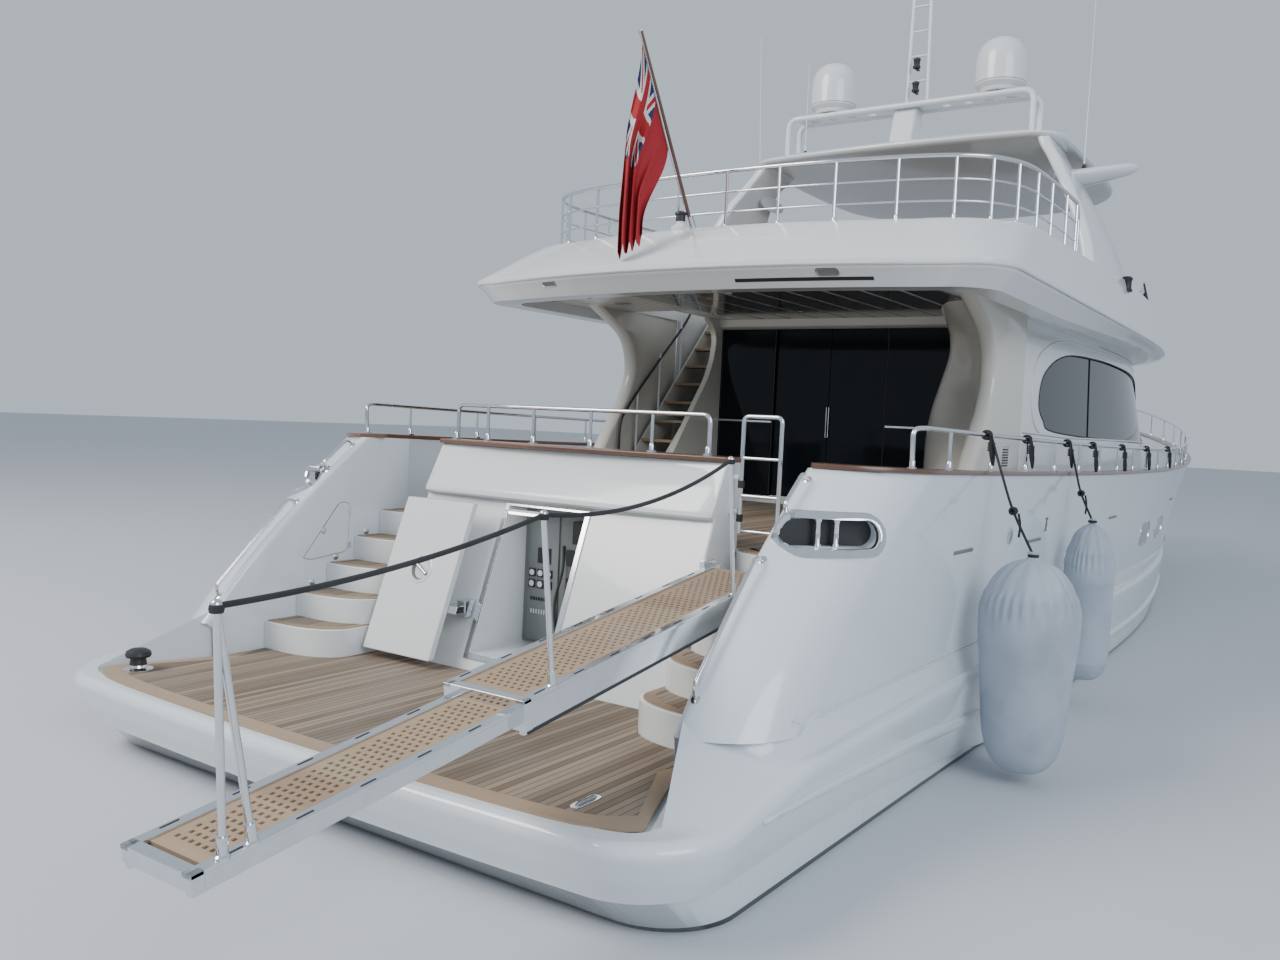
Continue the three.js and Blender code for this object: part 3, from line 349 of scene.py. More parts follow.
def grid(rings, closed=False, capped=False):
    n = len(rings[0])
    points = [tuple(p) for ring in rings for p in ring]
    faces = []
    for r in range(len(rings) - 1):
        for i in range(n if closed else n - 1):
            j = (i + 1) % n
            faces.append((r * n + i, r * n + j, (r + 1) * n + j, (r + 1) * n + i))
    if capped:
        faces.append(tuple(range(n)))
        faces.append(tuple(range((len(rings) - 1) * n, len(rings) * n)))
    return points, faces


def tube(path, radius, sides=12, loop=False):
    stops = [Vector(p) for p in path]
    n = len(stops)
    radii = radius if isinstance(radius, (list, tuple)) else [radius] * n
    rings = []
    side = None
    for i, p in enumerate(stops):
        before = p - stops[i - 1] if i or loop else stops[1] - p
        after = stops[(i + 1) % n] - p if i < n - 1 or loop else p - stops[i - 1]
        along = (before.normalized() + after.normalized()).normalized()
        if side is None:
            side = along.cross((0, 0, 1)) if abs(along.z) < 0.9 else along.cross((1, 0, 0))
        side = (side - along * side.dot(along)).normalized()
        up = along.cross(side)
        stretch = min(2, 1 / max(0.3, along.dot(before.normalized())))
        ring = []
        for k in range(sides):
            turn = 2 * pi * k / sides
            across = side * radii[i] * cos(turn) * (stretch if i and i < n - 1 else 1)
            ring.append(p + across + up * radii[i] * sin(turn))
        rings.append(ring)
    if loop:
        return grid(rings + [rings[0]], True)
    return grid(rings, True, True)


# A path with its corners rounded
def eased(path, radius, steps=5):
    out = [Vector(path[0])]
    for a, b, c in zip(path, path[1:], path[2:]):
        a, b, c = Vector(a), Vector(b), Vector(c)
        cut = min(radius, (a - b).length * 0.45, (c - b).length * 0.45)
        start = b + (a - b).normalized() * cut
        end = b + (c - b).normalized() * cut
        for k in range(steps + 1):
            t = k / steps
            out.append(start * (1 - t) ** 2 + b * 2 * t * (1 - t) + end * t ** 2)
    return out + [Vector(path[-1])]


def circle(count):
    return [(cos(2 * pi * k / count), sin(2 * pi * k / count)) for k in range(count)]


# A profile of [radius, height] turned about an axis that runs from one point towards another
def turned(profile, foot, head=(0, 0, 1), steps=24):
    up = Vector(head).normalized()
    side = up.cross((0, 0, 1)) if abs(up.z) < 0.9 else up.cross((1, 0, 0))
    side.normalize()
    other = up.cross(side)
    rings = []
    for radius, height in profile:
        centre = Vector(foot) + up * height
        turns = [2 * pi * k / steps for k in range(steps)]
        rings.append([centre + (side * cos(turn) + other * sin(turn)) * radius for turn in turns])
    return grid(rings, True, True)


# The same, closed at both ends to its axis
def solid(profile, foot, head=(0, 0, 1), steps=24):
    return turned([(0, profile[0][1]), *profile, (0, profile[-1][1])], foot, head, steps)


# A plain round bar
def rod(radius, tall, foot, head=(0, 0, 1), steps=24, low=0):
    return solid([(radius, low), (radius, tall)], foot, head, steps)


def smoothEdges(bm, angle):
    for face in bm.faces:
        face.smooth = True
    for edge in bm.edges:
        if len(edge.link_faces) == 2 and edge.calc_face_angle(0) > radians(angle):
            edge.smooth = False


# A mesh with its doubles merged, its faces outwards unless it is a node's own, and its edges smooth or sharp
def cleaned(mesh, weld=1e-5, smooth=None, flat=None):
    bm = bmesh.new()
    bm.from_mesh(mesh)
    bmesh.ops.remove_doubles(bm, verts=bm.verts, dist=weld)
    if flat:
        bmesh.ops.dissolve_limit(bm, angle_limit=radians(flat), verts=bm.verts, edges=bm.edges)
    else:
        bmesh.ops.recalc_face_normals(bm, faces=bm.faces)
    if smooth:
        smoothEdges(bm, smooth)
    bm.to_mesh(mesh)
    bm.free()
    return mesh


# Several shapes in a list are joined, and a mesh stays itself
def meshOf(shape, name):
    if isinstance(shape, bpy.types.Mesh):
        return shape
    points, faces = joined(*shape) if isinstance(shape, list) else shape
    mesh = bpy.data.meshes.new(name)
    mesh.from_pydata([tuple(p) for p in points], [], faces)
    return mesh


def linked(name, mesh):
    made = bpy.data.objects.new(name, mesh)
    bpy.context.scene.collection.objects.link(made)
    return made


# Puts a cleaned mesh in the scene: finish, rounding, body or span, and the nodes it stands for
def shown(name, mesh, look, nodes, body, bevel, segments, span=None):
    mesh.materials.clear()
    mesh.materials.append(finishes[look][0])
    made = linked(name, mesh)
    if bevel:
        rounding = made.modifiers.new("rounding", "BEVEL")
        rounding.width = bevel
        rounding.segments = segments
        rounding.limit_method = "ANGLE"
        rounding.angle_limit = radians(30)
        rounding.harden_normals = True
    if span:
        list(span)
        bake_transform(made)
    else:
        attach(made, body)
    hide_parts(*([nodes] if isinstance(nodes, str) else nodes))
    return made


# A finished piece from a shape
def piece(name, shape, look, nodes, body="hull", smooth=35, bevel=0, segments=2, weld=1e-5, span=None):
    return shown(name, cleaned(meshOf(shape, name), weld, smooth), look, nodes, body, bevel, segments, span)


# A frame node shown through a cleaned, softened copy of its own mesh
def dress(node, look, bevel=0.004, segments=2):
    source = frame["nodes"][node]
    mesh = source.data.copy()
    mesh.name = node + ".skin"
    cleaned(mesh, 2e-5, 35, 1)
    return shown(node + ".skin", mesh, look, node, source["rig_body"], bevel, segments)


# A bare object from a shape, to cut with or to strike points on
def bare(shape):
    return linked("scratch", cleaned(meshOf(shape, "scratch")))


# The plain mesh that an object's modifiers make
def settled(made):
    bpy.context.view_layer.update()
    mesh = bpy.data.meshes.new_from_object(made.evaluated_get(bpy.context.evaluated_depsgraph_get()))
    bpy.data.objects.remove(made)
    return mesh


# One shape cut, or met, by others
def carved(shape, *cutters, operation="DIFFERENCE"):
    made = bare(shape)
    tools = [bare(cutter) for cutter in cutters]
    for tool in tools:
        cutting = made.modifiers.new("cut", "BOOLEAN")
        cutting.operation = operation
        cutting.object = tool
        cutting.solver = "EXACT"
    mesh = settled(made)
    for tool in tools:
        bpy.data.objects.remove(tool)
    return mesh


def mirrored(shape):
    return [(x, -y, z) for x, y, z in map(tuple, shape[0])], shape[1]


def twoSided(*shapes):
    return joined(*shapes, *map(mirrored, shapes))


# Port is +1 and starboard -1: a shape is drawn to port and turned over for starboard
hands = ((1, "port"), (-1, "starboard"))


def onSide(side, shape):
    return shape if side > 0 else mirrored(shape)


def placed(shape, matrix):
    return [tuple(matrix @ Vector(p)) for p in shape[0]], shape[1]


# A smooth line through points
def smoothLine(points, steps=6, loop=False):
    stops = [Vector(p) for p in points]
    n = len(stops)
    out = []
    for i in range(n if loop else n - 1):
        a, b = stops[i], stops[(i + 1) % n]
        before = stops[i - 1] if i or loop else a
        after = stops[(i + 2) % n] if i + 2 < n or loop else b
        for k in range(steps):
            t = k / steps
            first, last = (b - before) / 2, (after - a) / 2
            h = (
                2 * t ** 3 - 3 * t ** 2 + 1, t ** 3 - 2 * t ** 2 + t, 3 * t ** 2 - 2 * t ** 3,
                t ** 3 - t ** 2,
            )
            out.append(a * h[0] + first * h[1] + b * h[2] + last * h[3])
    return out if loop else out + [stops[-1]]


# A smooth outline through points of a plane
def smoothOutline(points, steps=5, loop=False):
    return [(p.x, p.y) for p in smoothLine([(a, b, 0) for a, b in points], steps, loop)]


# A tree with named inputs: the wires of its inputs, and a function that closes it
def nodeTree(name, inputs):
    tree = bpy.data.node_groups.new(name, "GeometryNodeTree")
    names = {
        label: tree.interface.new_socket(label, in_out="INPUT", socket_type="NodeSocket" + kind).identifier
        for label, kind in inputs
    }
    tree.interface.new_socket("Made", in_out="OUTPUT", socket_type="NodeSocketGeometry")
    given = tree.nodes.new("NodeGroupInput")
    wires = {label: Wire(tree, given.outputs[i]) for i, (label, kind) in enumerate(inputs)}

    def close(shape, look):
        whole = shape.node("GeometryNodeRealizeInstances", {}, {0: shape})
        shown = whole.node("GeometryNodeSetMaterial", {}, {"Geometry": whole, "Material": look})
        tree.links.new(shown.socket, tree.nodes.new("NodeGroupOutput").inputs[0])
        return tree, names
    return wires, close


# Repeats one shape on points, each with its own turn and stretch
def repeatTree():
    kinds = [("Points", "Geometry"), ("Shape", "Object"), ("Size", "Float"), ("Finish", "Material")]
    wires, close = nodeTree("repeatOnPoints", kinds)
    points = wires["Points"]
    form = points.node("GeometryNodeObjectInfo", {}, {"Object": wires["Shape"]}, "Geometry")
    spots = points.node("GeometryNodeMeshToPoints", {}, {"Mesh": points})
    turn = points.node("GeometryNodeInputNamedAttribute", {"data_type": "FLOAT_VECTOR"}, {"Name": "turn"})
    stretch = points.node(
        "GeometryNodeInputNamedAttribute", {"data_type": "FLOAT_VECTOR"}, {"Name": "stretch"},
    )
    size = points.node("ShaderNodeVectorMath", {"operation": "SCALE"}, {0: stretch, "Scale": wires["Size"]})
    stamped = {"Points": spots, "Instance": form, "Rotation": turn, "Scale": size}
    return close(points.node("GeometryNodeInstanceOnPoints", {}, stamped), wires["Finish"])


# A board with staggered square holes: a grid with faces left out, given its thickness
def boardTree():
    kinds = [
        ("Board", "Geometry"), ("Length", "Float"), ("Width", "Float"), ("Rows", "Int"),
        ("Lanes", "Int"), ("Margin", "Int"), ("Thickness", "Float"), ("Finish", "Material"),
    ]
    wires, close = nodeTree("perforatedBoard", kinds)
    start = wires["Length"]
    sizes = {
        "Size X": wires["Length"], "Size Y": wires["Width"], "Vertices X": wires["Rows"] + 1,
        "Vertices Y": wires["Lanes"] + 1,
    }
    sheet = start.node("GeometryNodeMeshGrid", {}, sizes)
    place = start.node("GeometryNodeInputPosition")
    row = ((place.axis(0) / wires["Length"] + 0.5) * wires["Rows"]).maths("FLOOR")
    lane = ((place.axis(1) / wires["Width"] + 0.5) * wires["Lanes"]).maths("FLOOR")

    def inside(value, count):
        first = value.maths("GREATER_THAN", wires["Margin"] - 0.5)
        return first * value.maths("LESS_THAN", count - wires["Margin"] - 0.5)

    odd = row.maths("FLOORED_MODULO", 2)
    shift = (row / 2).maths("FLOOR").maths("FLOORED_MODULO", 2)
    hole = odd * (
        (lane + shift).maths("FLOORED_MODULO", 2)
    ) * inside(row, wires["Rows"]) * inside(lane, wires["Lanes"])
    cut = start.node("GeometryNodeDeleteGeometry", {"domain": "FACE"}, {"Geometry": sheet, "Selection": hole})
    down = start.node("ShaderNodeCombineXYZ", {}, {"Z": wires["Thickness"]})
    raised = start.node(
        "GeometryNodeExtrudeMesh", {"mode": "FACES"},
        {"Mesh": cut, "Offset": down, "Offset Scale": 1, "Individual": False},
    )
    under = start.node("GeometryNodeFlipFaces", {}, {"Mesh": cut})
    join = start.tree.nodes.new("GeometryNodeJoinGeometry")
    for part in (under, raised):
        start.tree.links.new(part.socket, join.inputs[0])
    whole = start.node(
        "GeometryNodeMergeByDistance", {},
        {"Geometry": Wire(start.tree, join.outputs[0]), "Distance": 0.0002},
    )
    return close(whole, wires["Finish"])


repeat, repeatInputs = repeatTree()
board, boardInputs = boardTree()


# The mesh of a tree's modifier on a start mesh
def grown(start, tree, names, values):
    made = linked("grown", start)
    growing = made.modifiers.new("growth", "NODES")
    growing.node_group = tree
    for label, value in values.items():
        growing[names[label]] = value
    return settled(made)


# One shape repeated on spots of (place, turn, stretch)
def scattered(shape, spots, look):
    points = bpy.data.meshes.new("spots")
    points.from_pydata([tuple(place) for place, turn, stretch in spots], [], [])
    for label, column in (("turn", 1), ("stretch", 2)):
        values = points.attributes.new(label, "FLOAT_VECTOR", "POINT")
        for i, spot in enumerate(spots):
            values.data[i].vector = spot[column]
    form = bare(shape)
    mesh = grown(points, repeat, repeatInputs, {"Shape": form, "Size": 1.0, "Finish": finishes[look][0]})
    bpy.data.objects.remove(form)
    return mesh


def upright(place):
    return tuple(place), (0, 0, 0), (1, 1, 1)


# Hull lines, level by level: the half breadth as [sternX, camber, corner, aft, wide, bowX, full],
# and the height as z at the stern, midships and the bow
hull = {
    "keel": [-12.3, 0, 0.03, 0.06, 0.06, 10.4, 2.2, (-1, -1.25, -0.7)],
    "bilge": [-12.5, 0, 0.25, 2.1, 2.25, 11.7, 1.9, (-0.42, -0.48, -0.05)],
    "chine": [-13.1, 0, 0.5, 2.88, 3.02, 12.5, 2.1, (-0.02, -0.06, 0.62)],
    "knuckle": [-13.5, 0.08, 0.6, 2.96, 3.08, 12.7, 2.3, (0.27, 0.22, 0.86)],
    "ledge": [-13.64, 0.11, 0.64, 3.06, 3.18, 13.01, 2.5, (0.642, 0.88, 1.33)],
    "groove": [-12.5, 0.06, 0.62, 2.96, 3.09, 13.22, 2.6, (1.11, 1.18, 1.75)],
    "topside": [-11.5, 0.03, 0.72, 3.02, 3.16, 13.58, 2.8, (2.09, 2.06, 2.6)],
    "cap": [-10.9, 0.02, 0.78, 3.08, 3.2, 13.9, 3, (2.57, 2.45, 3.35)],
}
deckZ = 1.85
sternDeckX = -10.3
innerWing = 2.35
platformZ = 0.64

# Faces that pieces stand on or meet, each a hair clear of the wall or deck behind it
deckTop, upperTop, ceilingLow, saloonSill = 1.8504, 4.7004, 4.2796, 1.9404
houseAft, blockSide, wingSide = -5.3004, 1.5604, 2.3496
beamTop, padTop = 7.5244, 7.5644


def mixRow(one, two, t):
    return tuple(a + (b - a) * t for a, b in zip(one, two))


def mixed(one, two, t):
    return [*mixRow(one[:7], two[:7], t), mixRow(one[7], two[7], t)]


def inset(level, gap):
    sternX, camber, corner, aft, wide, bowX, full, z = level
    return [sternX + gap, camber, corner, aft - gap, wide - gap, bowX - gap * 1.6, full, z]


def heightAt(level, x):
    z = level[7]
    if x < 0:
        return z[1] + (z[0] - z[1]) * (x / level[0]) ** 2
    return z[1] + (z[2] - z[1]) * (x / level[5]) ** 2


def sideX(level):
    return level[0] + level[1] * ((level[3] - level[2]) / level[3]) ** 2 + level[2]


def halfBreadth(level, x):
    sternX, camber, corner, aft, wide, bowX, full, z = level
    start = sideX(level)
    if x < start:
        reach = max(0, min(1, (start - x) / corner))
        return aft - corner + corner * (1 - reach ** 2) ** 0.5
    t = min(1, (x - start) / (bowX - start))
    swell = aft + (wide - aft) * sin(min(1, t / 0.45) * pi / 2)
    return swell if t < 0.4 else swell * (1 - ((t - 0.4) / 0.6) ** full)


def forwardSteps(count):
    return [1 - (1 - i / count) ** 1.5 for i in range(1, count + 1)]


# A level's side in plan, from its corner to the bow
def sideRun(row, count):
    start = sideX(row)
    return [(x, halfBreadth(row, x)) for x in [start + (row[5] - start) * t for t in forwardSteps(count)]]


sternSteps, cornerSteps, quarterSteps, sideSteps = 8, 14, 16, 46
quarterEnd = -11.8


# The cambered stern and its rounded corner in plan, and the x at which the side begins
def sternCurve(sternX, camber, corner, aft):
    straight = max(aft - corner, 0.001)
    edge = lambda y: sternX + camber * (y / aft) ** 2
    points = [(edge(straight * i / sternSteps), straight * i / sternSteps) for i in range(sternSteps + 1)]
    for i in range(1, cornerSteps + 1):
        turn = pi / 2 * i / cornerSteps
        points.append((edge(straight) + corner * (1 - cos(turn)), straight + corner * sin(turn)))
    return points, edge(straight) + corner


# A level's half outline in plan, from the stern centreline to the bow, at the stations of all lower levels
def lowerOutline(level):
    bowX = level[5]
    points, start = sternCurve(*level[:4])
    quarter = [start + (quarterEnd - start) * i / quarterSteps for i in range(1, quarterSteps + 1)]
    forward = [quarterEnd + (bowX - quarterEnd) * t for t in forwardSteps(sideSteps)]
    return points + [(x, halfBreadth(level, x)) for x in quarter + forward]


knuckleLine = [
    (-13.6, 0.27), (-12.9, 0.31), (-11.8, 0.33), (-10.8, 0.3), (-9.7, 0.22), (-8, 0.04), (-6, -0.12),
    (0, -0.2), (6, -0.05), (10, 0.35), (12.7, 0.86),
]
ledgeLine = [
    (-13.64, 0.63), (-13, 0.66), (-12, 0.82), (-10.5, 0.86), (-8, 0.87), (0, 0.88), (5, 0.92), (10, 1.1),
    (13.01, 1.33),
]


def alongLine(line, x):
    xs, zs = zip(*line)
    return float(np.interp(x, xs, zs))


def both(half):
    return half + [(x, -y, z) for x, y, z in reversed(half[1:-1])]


# Half outlines mirrored and stacked, the lowest and the highest closed by strips from side to side
def stacked(halves):
    rings = [both(half) for half in halves]
    shape = grid(rings, True)
    count = len(rings[0])
    half = count // 2
    other = lambda k: k if k in (0, half) else count - k
    for base in (0, (len(rings) - 1) * count):
        for i in range(half):
            side = [base + i, base + i + 1, base + other(i + 1), base + other(i)]
            shape[1].append(tuple(dict.fromkeys(side)))
    return shape


def lowerHull():
    rings = []

    def level(name, height, gap=0, rise=0):
        rings.append([(x, y, height(x) + rise) for x, y in lowerOutline(inset(hull[name], gap))])

    def between(one, two, t, height):
        rings.append([(x, y, height(x)) for x, y in lowerOutline(mixed(hull[one], hull[two], t))])

    knuckleZ = lambda x: alongLine(knuckleLine, x)
    ledgeZ = lambda x: alongLine(ledgeLine, x)
    level("keel", lambda x: heightAt(hull["keel"], x))
    level("bilge", lambda x: heightAt(hull["bilge"], x))
    level("chine", lambda x: min(heightAt(hull["chine"], x), knuckleZ(x) - 0.2))
    level("knuckle", knuckleZ, 0.05, -0.03)
    level("knuckle", knuckleZ, 0.012, -0.012)
    level("knuckle", knuckleZ, 0, 0.02)
    for out, up in ((0.35, 0.3), (0.62, 0.55), (0.8, 0.76), (0.93, 0.9), (1, 1)):
        between("knuckle", "ledge", out, lambda x: knuckleZ(x) + (ledgeZ(x) - 0.055 - knuckleZ(x)) * up)
    for turn in (25, 50, 75, 90):
        a = radians(turn)
        level("ledge", ledgeZ, 0.06 * (1 - cos(a)), 0.055 * sin(a) - 0.055 + 0.01)
    rings.extend(ledgeTop(rings[-1]))
    return stacked(rings)


# From the bull nose in: up to the foot of the wall, with the ridge to the wing's nose at each quarter
def ledgeTop(edge):
    groove = hull["groove"]
    rim = 0.085
    ridgeFrom, ridgeTo = (-13.22, 2.72), (-12.42, innerWing + 0.004)
    ridgeSteps = 8
    wingSteps = quarterSteps - ridgeSteps
    foot = []
    wing = [(ridgeTo[0], innerWing + 0.004)]
    start = sideX(groove)
    for i in range(1, wingSteps + 1):
        turn = pi / 2 * i / wingSteps
        wing.append((start - groove[2] * cos(turn), groove[3] - groove[2] + groove[2] * sin(turn)))
    for i, (x, y, z) in enumerate(edge):
        if i <= sternSteps:
            foot.append((x + rim, y, platformZ + 0.012))
        elif i <= sternSteps + cornerSteps:
            t = (i - sternSteps) / cornerSteps
            first = edge[sternSteps]
            a = Vector((first[0] + rim, first[1]))
            b = Vector((first[0] + rim + 0.02, ridgeFrom[1] - 0.03))
            c = Vector(ridgeFrom)
            p = a * (1 - t) ** 2 + b * 2 * t * (1 - t) + c * t * t
            foot.append((p.x, p.y, platformZ + 0.012 + 0.02 * t * t))
        elif i <= sternSteps + cornerSteps + ridgeSteps:
            t = (i - sternSteps - cornerSteps) / ridgeSteps
            foot.append((*mixRow(ridgeFrom, ridgeTo, t), 0.672 + 0.42 * t))
        elif i <= sternSteps + cornerSteps + quarterSteps:
            k = i - sternSteps - cornerSteps - ridgeSteps
            foot.append((wing[k][0], wing[k][1], 1.092 - 0.02 * k / 8))
        else:
            foot.append((x, halfBreadth(groove, x), heightAt(groove, x) - 0.1))
    rows = []
    for share, lift in ((0.12, 0.02), (0.3, 0.24), (0.55, 0.52), (0.8, 0.8), (1, 1)):
        rows.append([
            (x0 + (x1 - x0) * share, y0 + (y1 - y0) * share, z0 + (z1 - z0) * lift)
            for (x0, y0, z0), (x1, y1, z1) in zip(edge, foot)
        ])
    inner = []
    for i, (x, y, z) in enumerate(foot):
        k = i - sternSteps - cornerSteps - ridgeSteps
        if k < 0:
            inner.append((x + 0.001, max(0, y - 0.001), platformZ - 0.02))
        elif k <= wingSteps:
            inner.append((ridgeTo[0] + 1.8 * k / wingSteps, innerWing + 0.004, platformZ - 0.02))
        else:
            inner.append((
                max(x, ridgeTo[0] + 1.8 + 0.02 * k), max(0, y - 0.1) if y > 0 else 0,
                min(z - 0.05, 1) if x < 9 else z - 0.05,
            ))
    return rows + [inner]


# Topsides: a wall section carried from the port wing's nose round the bow to the starboard one
def wallSections():
    noseRadius = 0.07
    noseSteps = 5
    cornerParts = 12
    heights = [-0.12, 0, 0.06, 0.14, 0.24, 0.36, 0.48, 0.6, 0.7, 0.8, 0.9, 0.97, 1]

    def level(v):
        rows = [hull[name] for name in ("groove", "topside", "cap")]
        mid = 0.69
        a = (v - mid) * (v - 1) / mid
        b = v * (v - 1) / (mid * (mid - 1))
        c = v * (v - mid) / (1 - mid)
        weigh = lambda values: values[0] * a + values[1] * b + values[2] * c
        plain = [weigh([row[i] for row in rows]) for i in range(7)]
        return plain + [tuple(weigh([row[7][i] for row in rows]) for i in range(3))]

    outer = []
    inner = []
    for v in heights:
        row = level(v)
        start = sideX(row)
        straight = row[3] - row[2]
        nose = row[0] + row[1] * (innerWing / row[3]) ** 2
        if innerWing > straight:
            nose = start - row[2] * (1 - ((innerWing - straight) / row[2]) ** 2) ** 0.5
        ring = []
        for i in range(noseSteps):
            turn = pi / 2 * i / noseSteps
            ring.append((nose + noseRadius * (1 - sin(turn)), innerWing + noseRadius * (1 - cos(turn))))
        lowest = max(straight, innerWing + noseRadius)
        first = 0 if lowest == straight else np.arcsin((lowest - straight) / row[2])
        for i in range(cornerParts + 1):
            turn = first + (pi / 2 - first) * i / cornerParts
            ring.append((start - row[2] * cos(turn), straight + row[2] * sin(turn)))
        split = len(ring)
        ring += sideRun(row, sideSteps)
        lined = [(x, max(y, 0), heightAt(row, x)) for x, y in ring]
        outer.append(lined)
        core = inset(row, 0.15)
        back = []
        for i, (x, y, z) in enumerate(lined):
            if i < split - 1:
                share = i / (split - 2)
                px = nose + noseRadius + 0.02 + (sternDeckX - nose - noseRadius - 0.02) * share
                back.append((px, innerWing, z if v > 0 else platformZ - 0.03))
            else:
                t = (x - start) / (row[5] - start)
                px = sternDeckX + (core[5] - sternDeckX) * max(0, t)
                back.append((px, halfBreadth(core, px), z if v > 0 else deckZ - 0.35))
        inner.append(back)
    return outer, inner


def topsides():
    outer, inner = wallSections()
    count = len(outer[0])
    sections = []
    for i in range(count):
        up = [outer[v][i] for v in range(len(outer))]
        down = [inner[v][i] for v in range(len(inner) - 1, -1, -1)]
        sections.append(up + down)
    starboard = [[(x, -y, z) for x, y, z in section] for section in reversed(sections[:-1])]
    return grid(sections + starboard, True, True)


# What is fixed on the hull: points are struck on its skin from outboard
def skinOf(*shapes):
    bm = bmesh.new()
    for shape in shapes:
        bm.from_mesh(shape.data if isinstance(shape, bpy.types.Object) else cleaned(meshOf(shape, "skin")))
    skin = BVHTree.FromBMesh(bm)
    bm.free()
    return skin


def struck(skin, start, way, lift=0):
    way = Vector(way).normalized()
    hit = skin.ray_cast(Vector(start), way)[0]
    return (hit or Vector(start)) - way * lift


fairlead = {
    "centre": Vector((-11.185, -2.7, 2.14)), "along": Vector((0.773, -0.634, 0)), "half": 0.4, "tall": 0.13,
    "deep": 0.08,
}


def stadium(half, tall, steps=10, straight=1):
    out = []
    for end in (1, -1):
        for k in range(steps + 1):
            turn = -pi / 2 + pi * k / steps
            out.append((end * (half - tall + tall * cos(turn)), end * tall * sin(turn)))
        for k in range(1, straight):
            out.append((end * (half - tall) * (1 - 2 * k / straight), end * tall))
    return out


def fairleadOval(grow, straight=1):
    outline = stadium(fairlead["half"] + grow, fairlead["tall"] + grow, straight=straight)
    return [fairlead["centre"] + fairlead["along"] * a + Vector((0, 0, b)) for a, b in outline]


def fairleadPrism():
    way = fairlead["along"].cross((0, 0, 1))
    return grid(
        [[p - way * depth for p in fairleadOval(-0.035)] for depth in (-0.5, fairlead["deep"])], True, True,
    )


lower = piece("hull.lower", lowerHull(), "hullGelcoat", "hull", smooth=40)
hullSkin = skinOf(lower, topsides())
prism = fairleadPrism()
inward = Vector((0.634, 0.773, 0))
wall = piece("hull.topsides", carved(topsides(), prism, mirrored(prism)), "hullGelcoat", "hull", smooth=50)
print("hull made")


def fairleadRing():
    rings = []
    for grow, lift in ((0.02, -0.004), (0.014, 0.014), (-0.02, 0.016), (-0.034, 0.008), (-0.036, -0.06)):
        ring = []
        for place in fairleadOval(grow, 10):
            start = place - inward
            spot = struck(hullSkin, start, inward, lift)
            ring.append(spot if (spot - start).length < 1.2 else start + inward * (1 - lift))
        rings.append(ring)
    return grid(rings, True)


# The fairlead's pocket, closed at the back by a black plate that is painted shade in the hollow, and its two
# rollers
def fairleadParts():
    centre = fairlead["centre"]
    back = [p + inward * (fairlead["deep"] - 0.01) for p in fairleadOval(-0.037)]
    floor = [back, [p + inward * 0.005 for p in back]]
    rollers = []
    for a in (-0.08, 0.06):
        foot = centre + fairlead["along"] * a + inward * 0.012 - Vector((0, 0, 0.1))
        profile = [(0.03, 0), (0.03, 0.012), (0.02, 0.03), (0.02, 0.17), (0.03, 0.188), (0.03, 0.2)]
        rollers.append(solid(profile, foot, steps=16))
    return grid(floor, True, True), joined(*rollers)


wellShade, rollers = fairleadParts()
piece("fairlead.flange", twoSided(fairleadRing()), "stainless", "hull", smooth=40)
# Black back of the pocket: painted shade
piece("fairlead.well", twoSided(wellShade), "blackTrim", "hull")
piece("fairlead.rollers", twoSided(rollers), "stainless", "hull")


def onWall(x, z, lift=0):
    return struck(hullSkin, (x, -5, z), (0, 1, 0), lift)


# Rings of a long oval struck on a skin, each wider by a gap and standing proud by a lift
def ovalOn(spotOn, x, z, half, tall, steps, rings):
    return [
        [spotOn(x + a, z + b, lift) for a, b in stadium(half + gap, tall + gap, steps)]
        for gap, lift in rings
    ]


# A raised band along the side between two height lines, blunt at its after end
def band(xs, high, low, lift):
    rings = []
    for i, x in enumerate(xs):
        top, foot = high(x), low(x)
        mid = (top + foot) / 2
        share = min(1, (i + 0.3) / 2.5) ** 0.5
        top, foot = mid + (top - mid) * share, mid + (foot - mid) * share
        edge = min(0.012, (top - foot) * 0.3)
        out = lift * share
        upper = [(top, -0.01), (top, 0), (top - edge * 0.4, out * 0.8), (top - edge, out)]
        lower = [(foot + edge, out), (foot + edge * 0.4, out * 0.8), (foot, 0), (foot, -0.01)]
        rings.append([onWall(x, z, proud) for z, proud in upper + lower])
    return grid(rings, True, True)


stripTop = [(-12.7, 0.66), (-10.2, 0.56), (-8.3, 0.45), (-5, 0.36), (0, 0.34), (6, 0.5), (11, 0.86)]
stripLow = [(-12.7, 0.61), (-10.2, 0.47), (-8.3, 0.35), (-5, 0.26), (0, 0.24), (6, 0.4), (11, 0.78)]
stripXs = [-12.7, -12.68, -12.64, -12.55] + [-12.4 + 0.4 * k for k in range(59)]
piece(
    "hull.sprayStrip",
    twoSided(band(stripXs, lambda x: alongLine(stripTop, x), lambda x: alongLine(stripLow, x), 0.03)),
    "hullGelcoat", "hull", smooth=45,
)
beadXs = [-12.1 + 0.35 * k for k in range(63)]
beads = [
    tube([onWall(x, 1.035 + up + 0.02 * max(0, x / 10), 0.004) for x in beadXs], 0.008, 6)
    for up in (0, 0.03)
]
tail = tube([onWall(-12.1, 1.065, 0.004), onWall(-12.03, 1.035, 0.004)], 0.008, 6)
piece("hull.beads", twoSided(*beads, tail), "hullGelcoat", "hull", smooth=60)
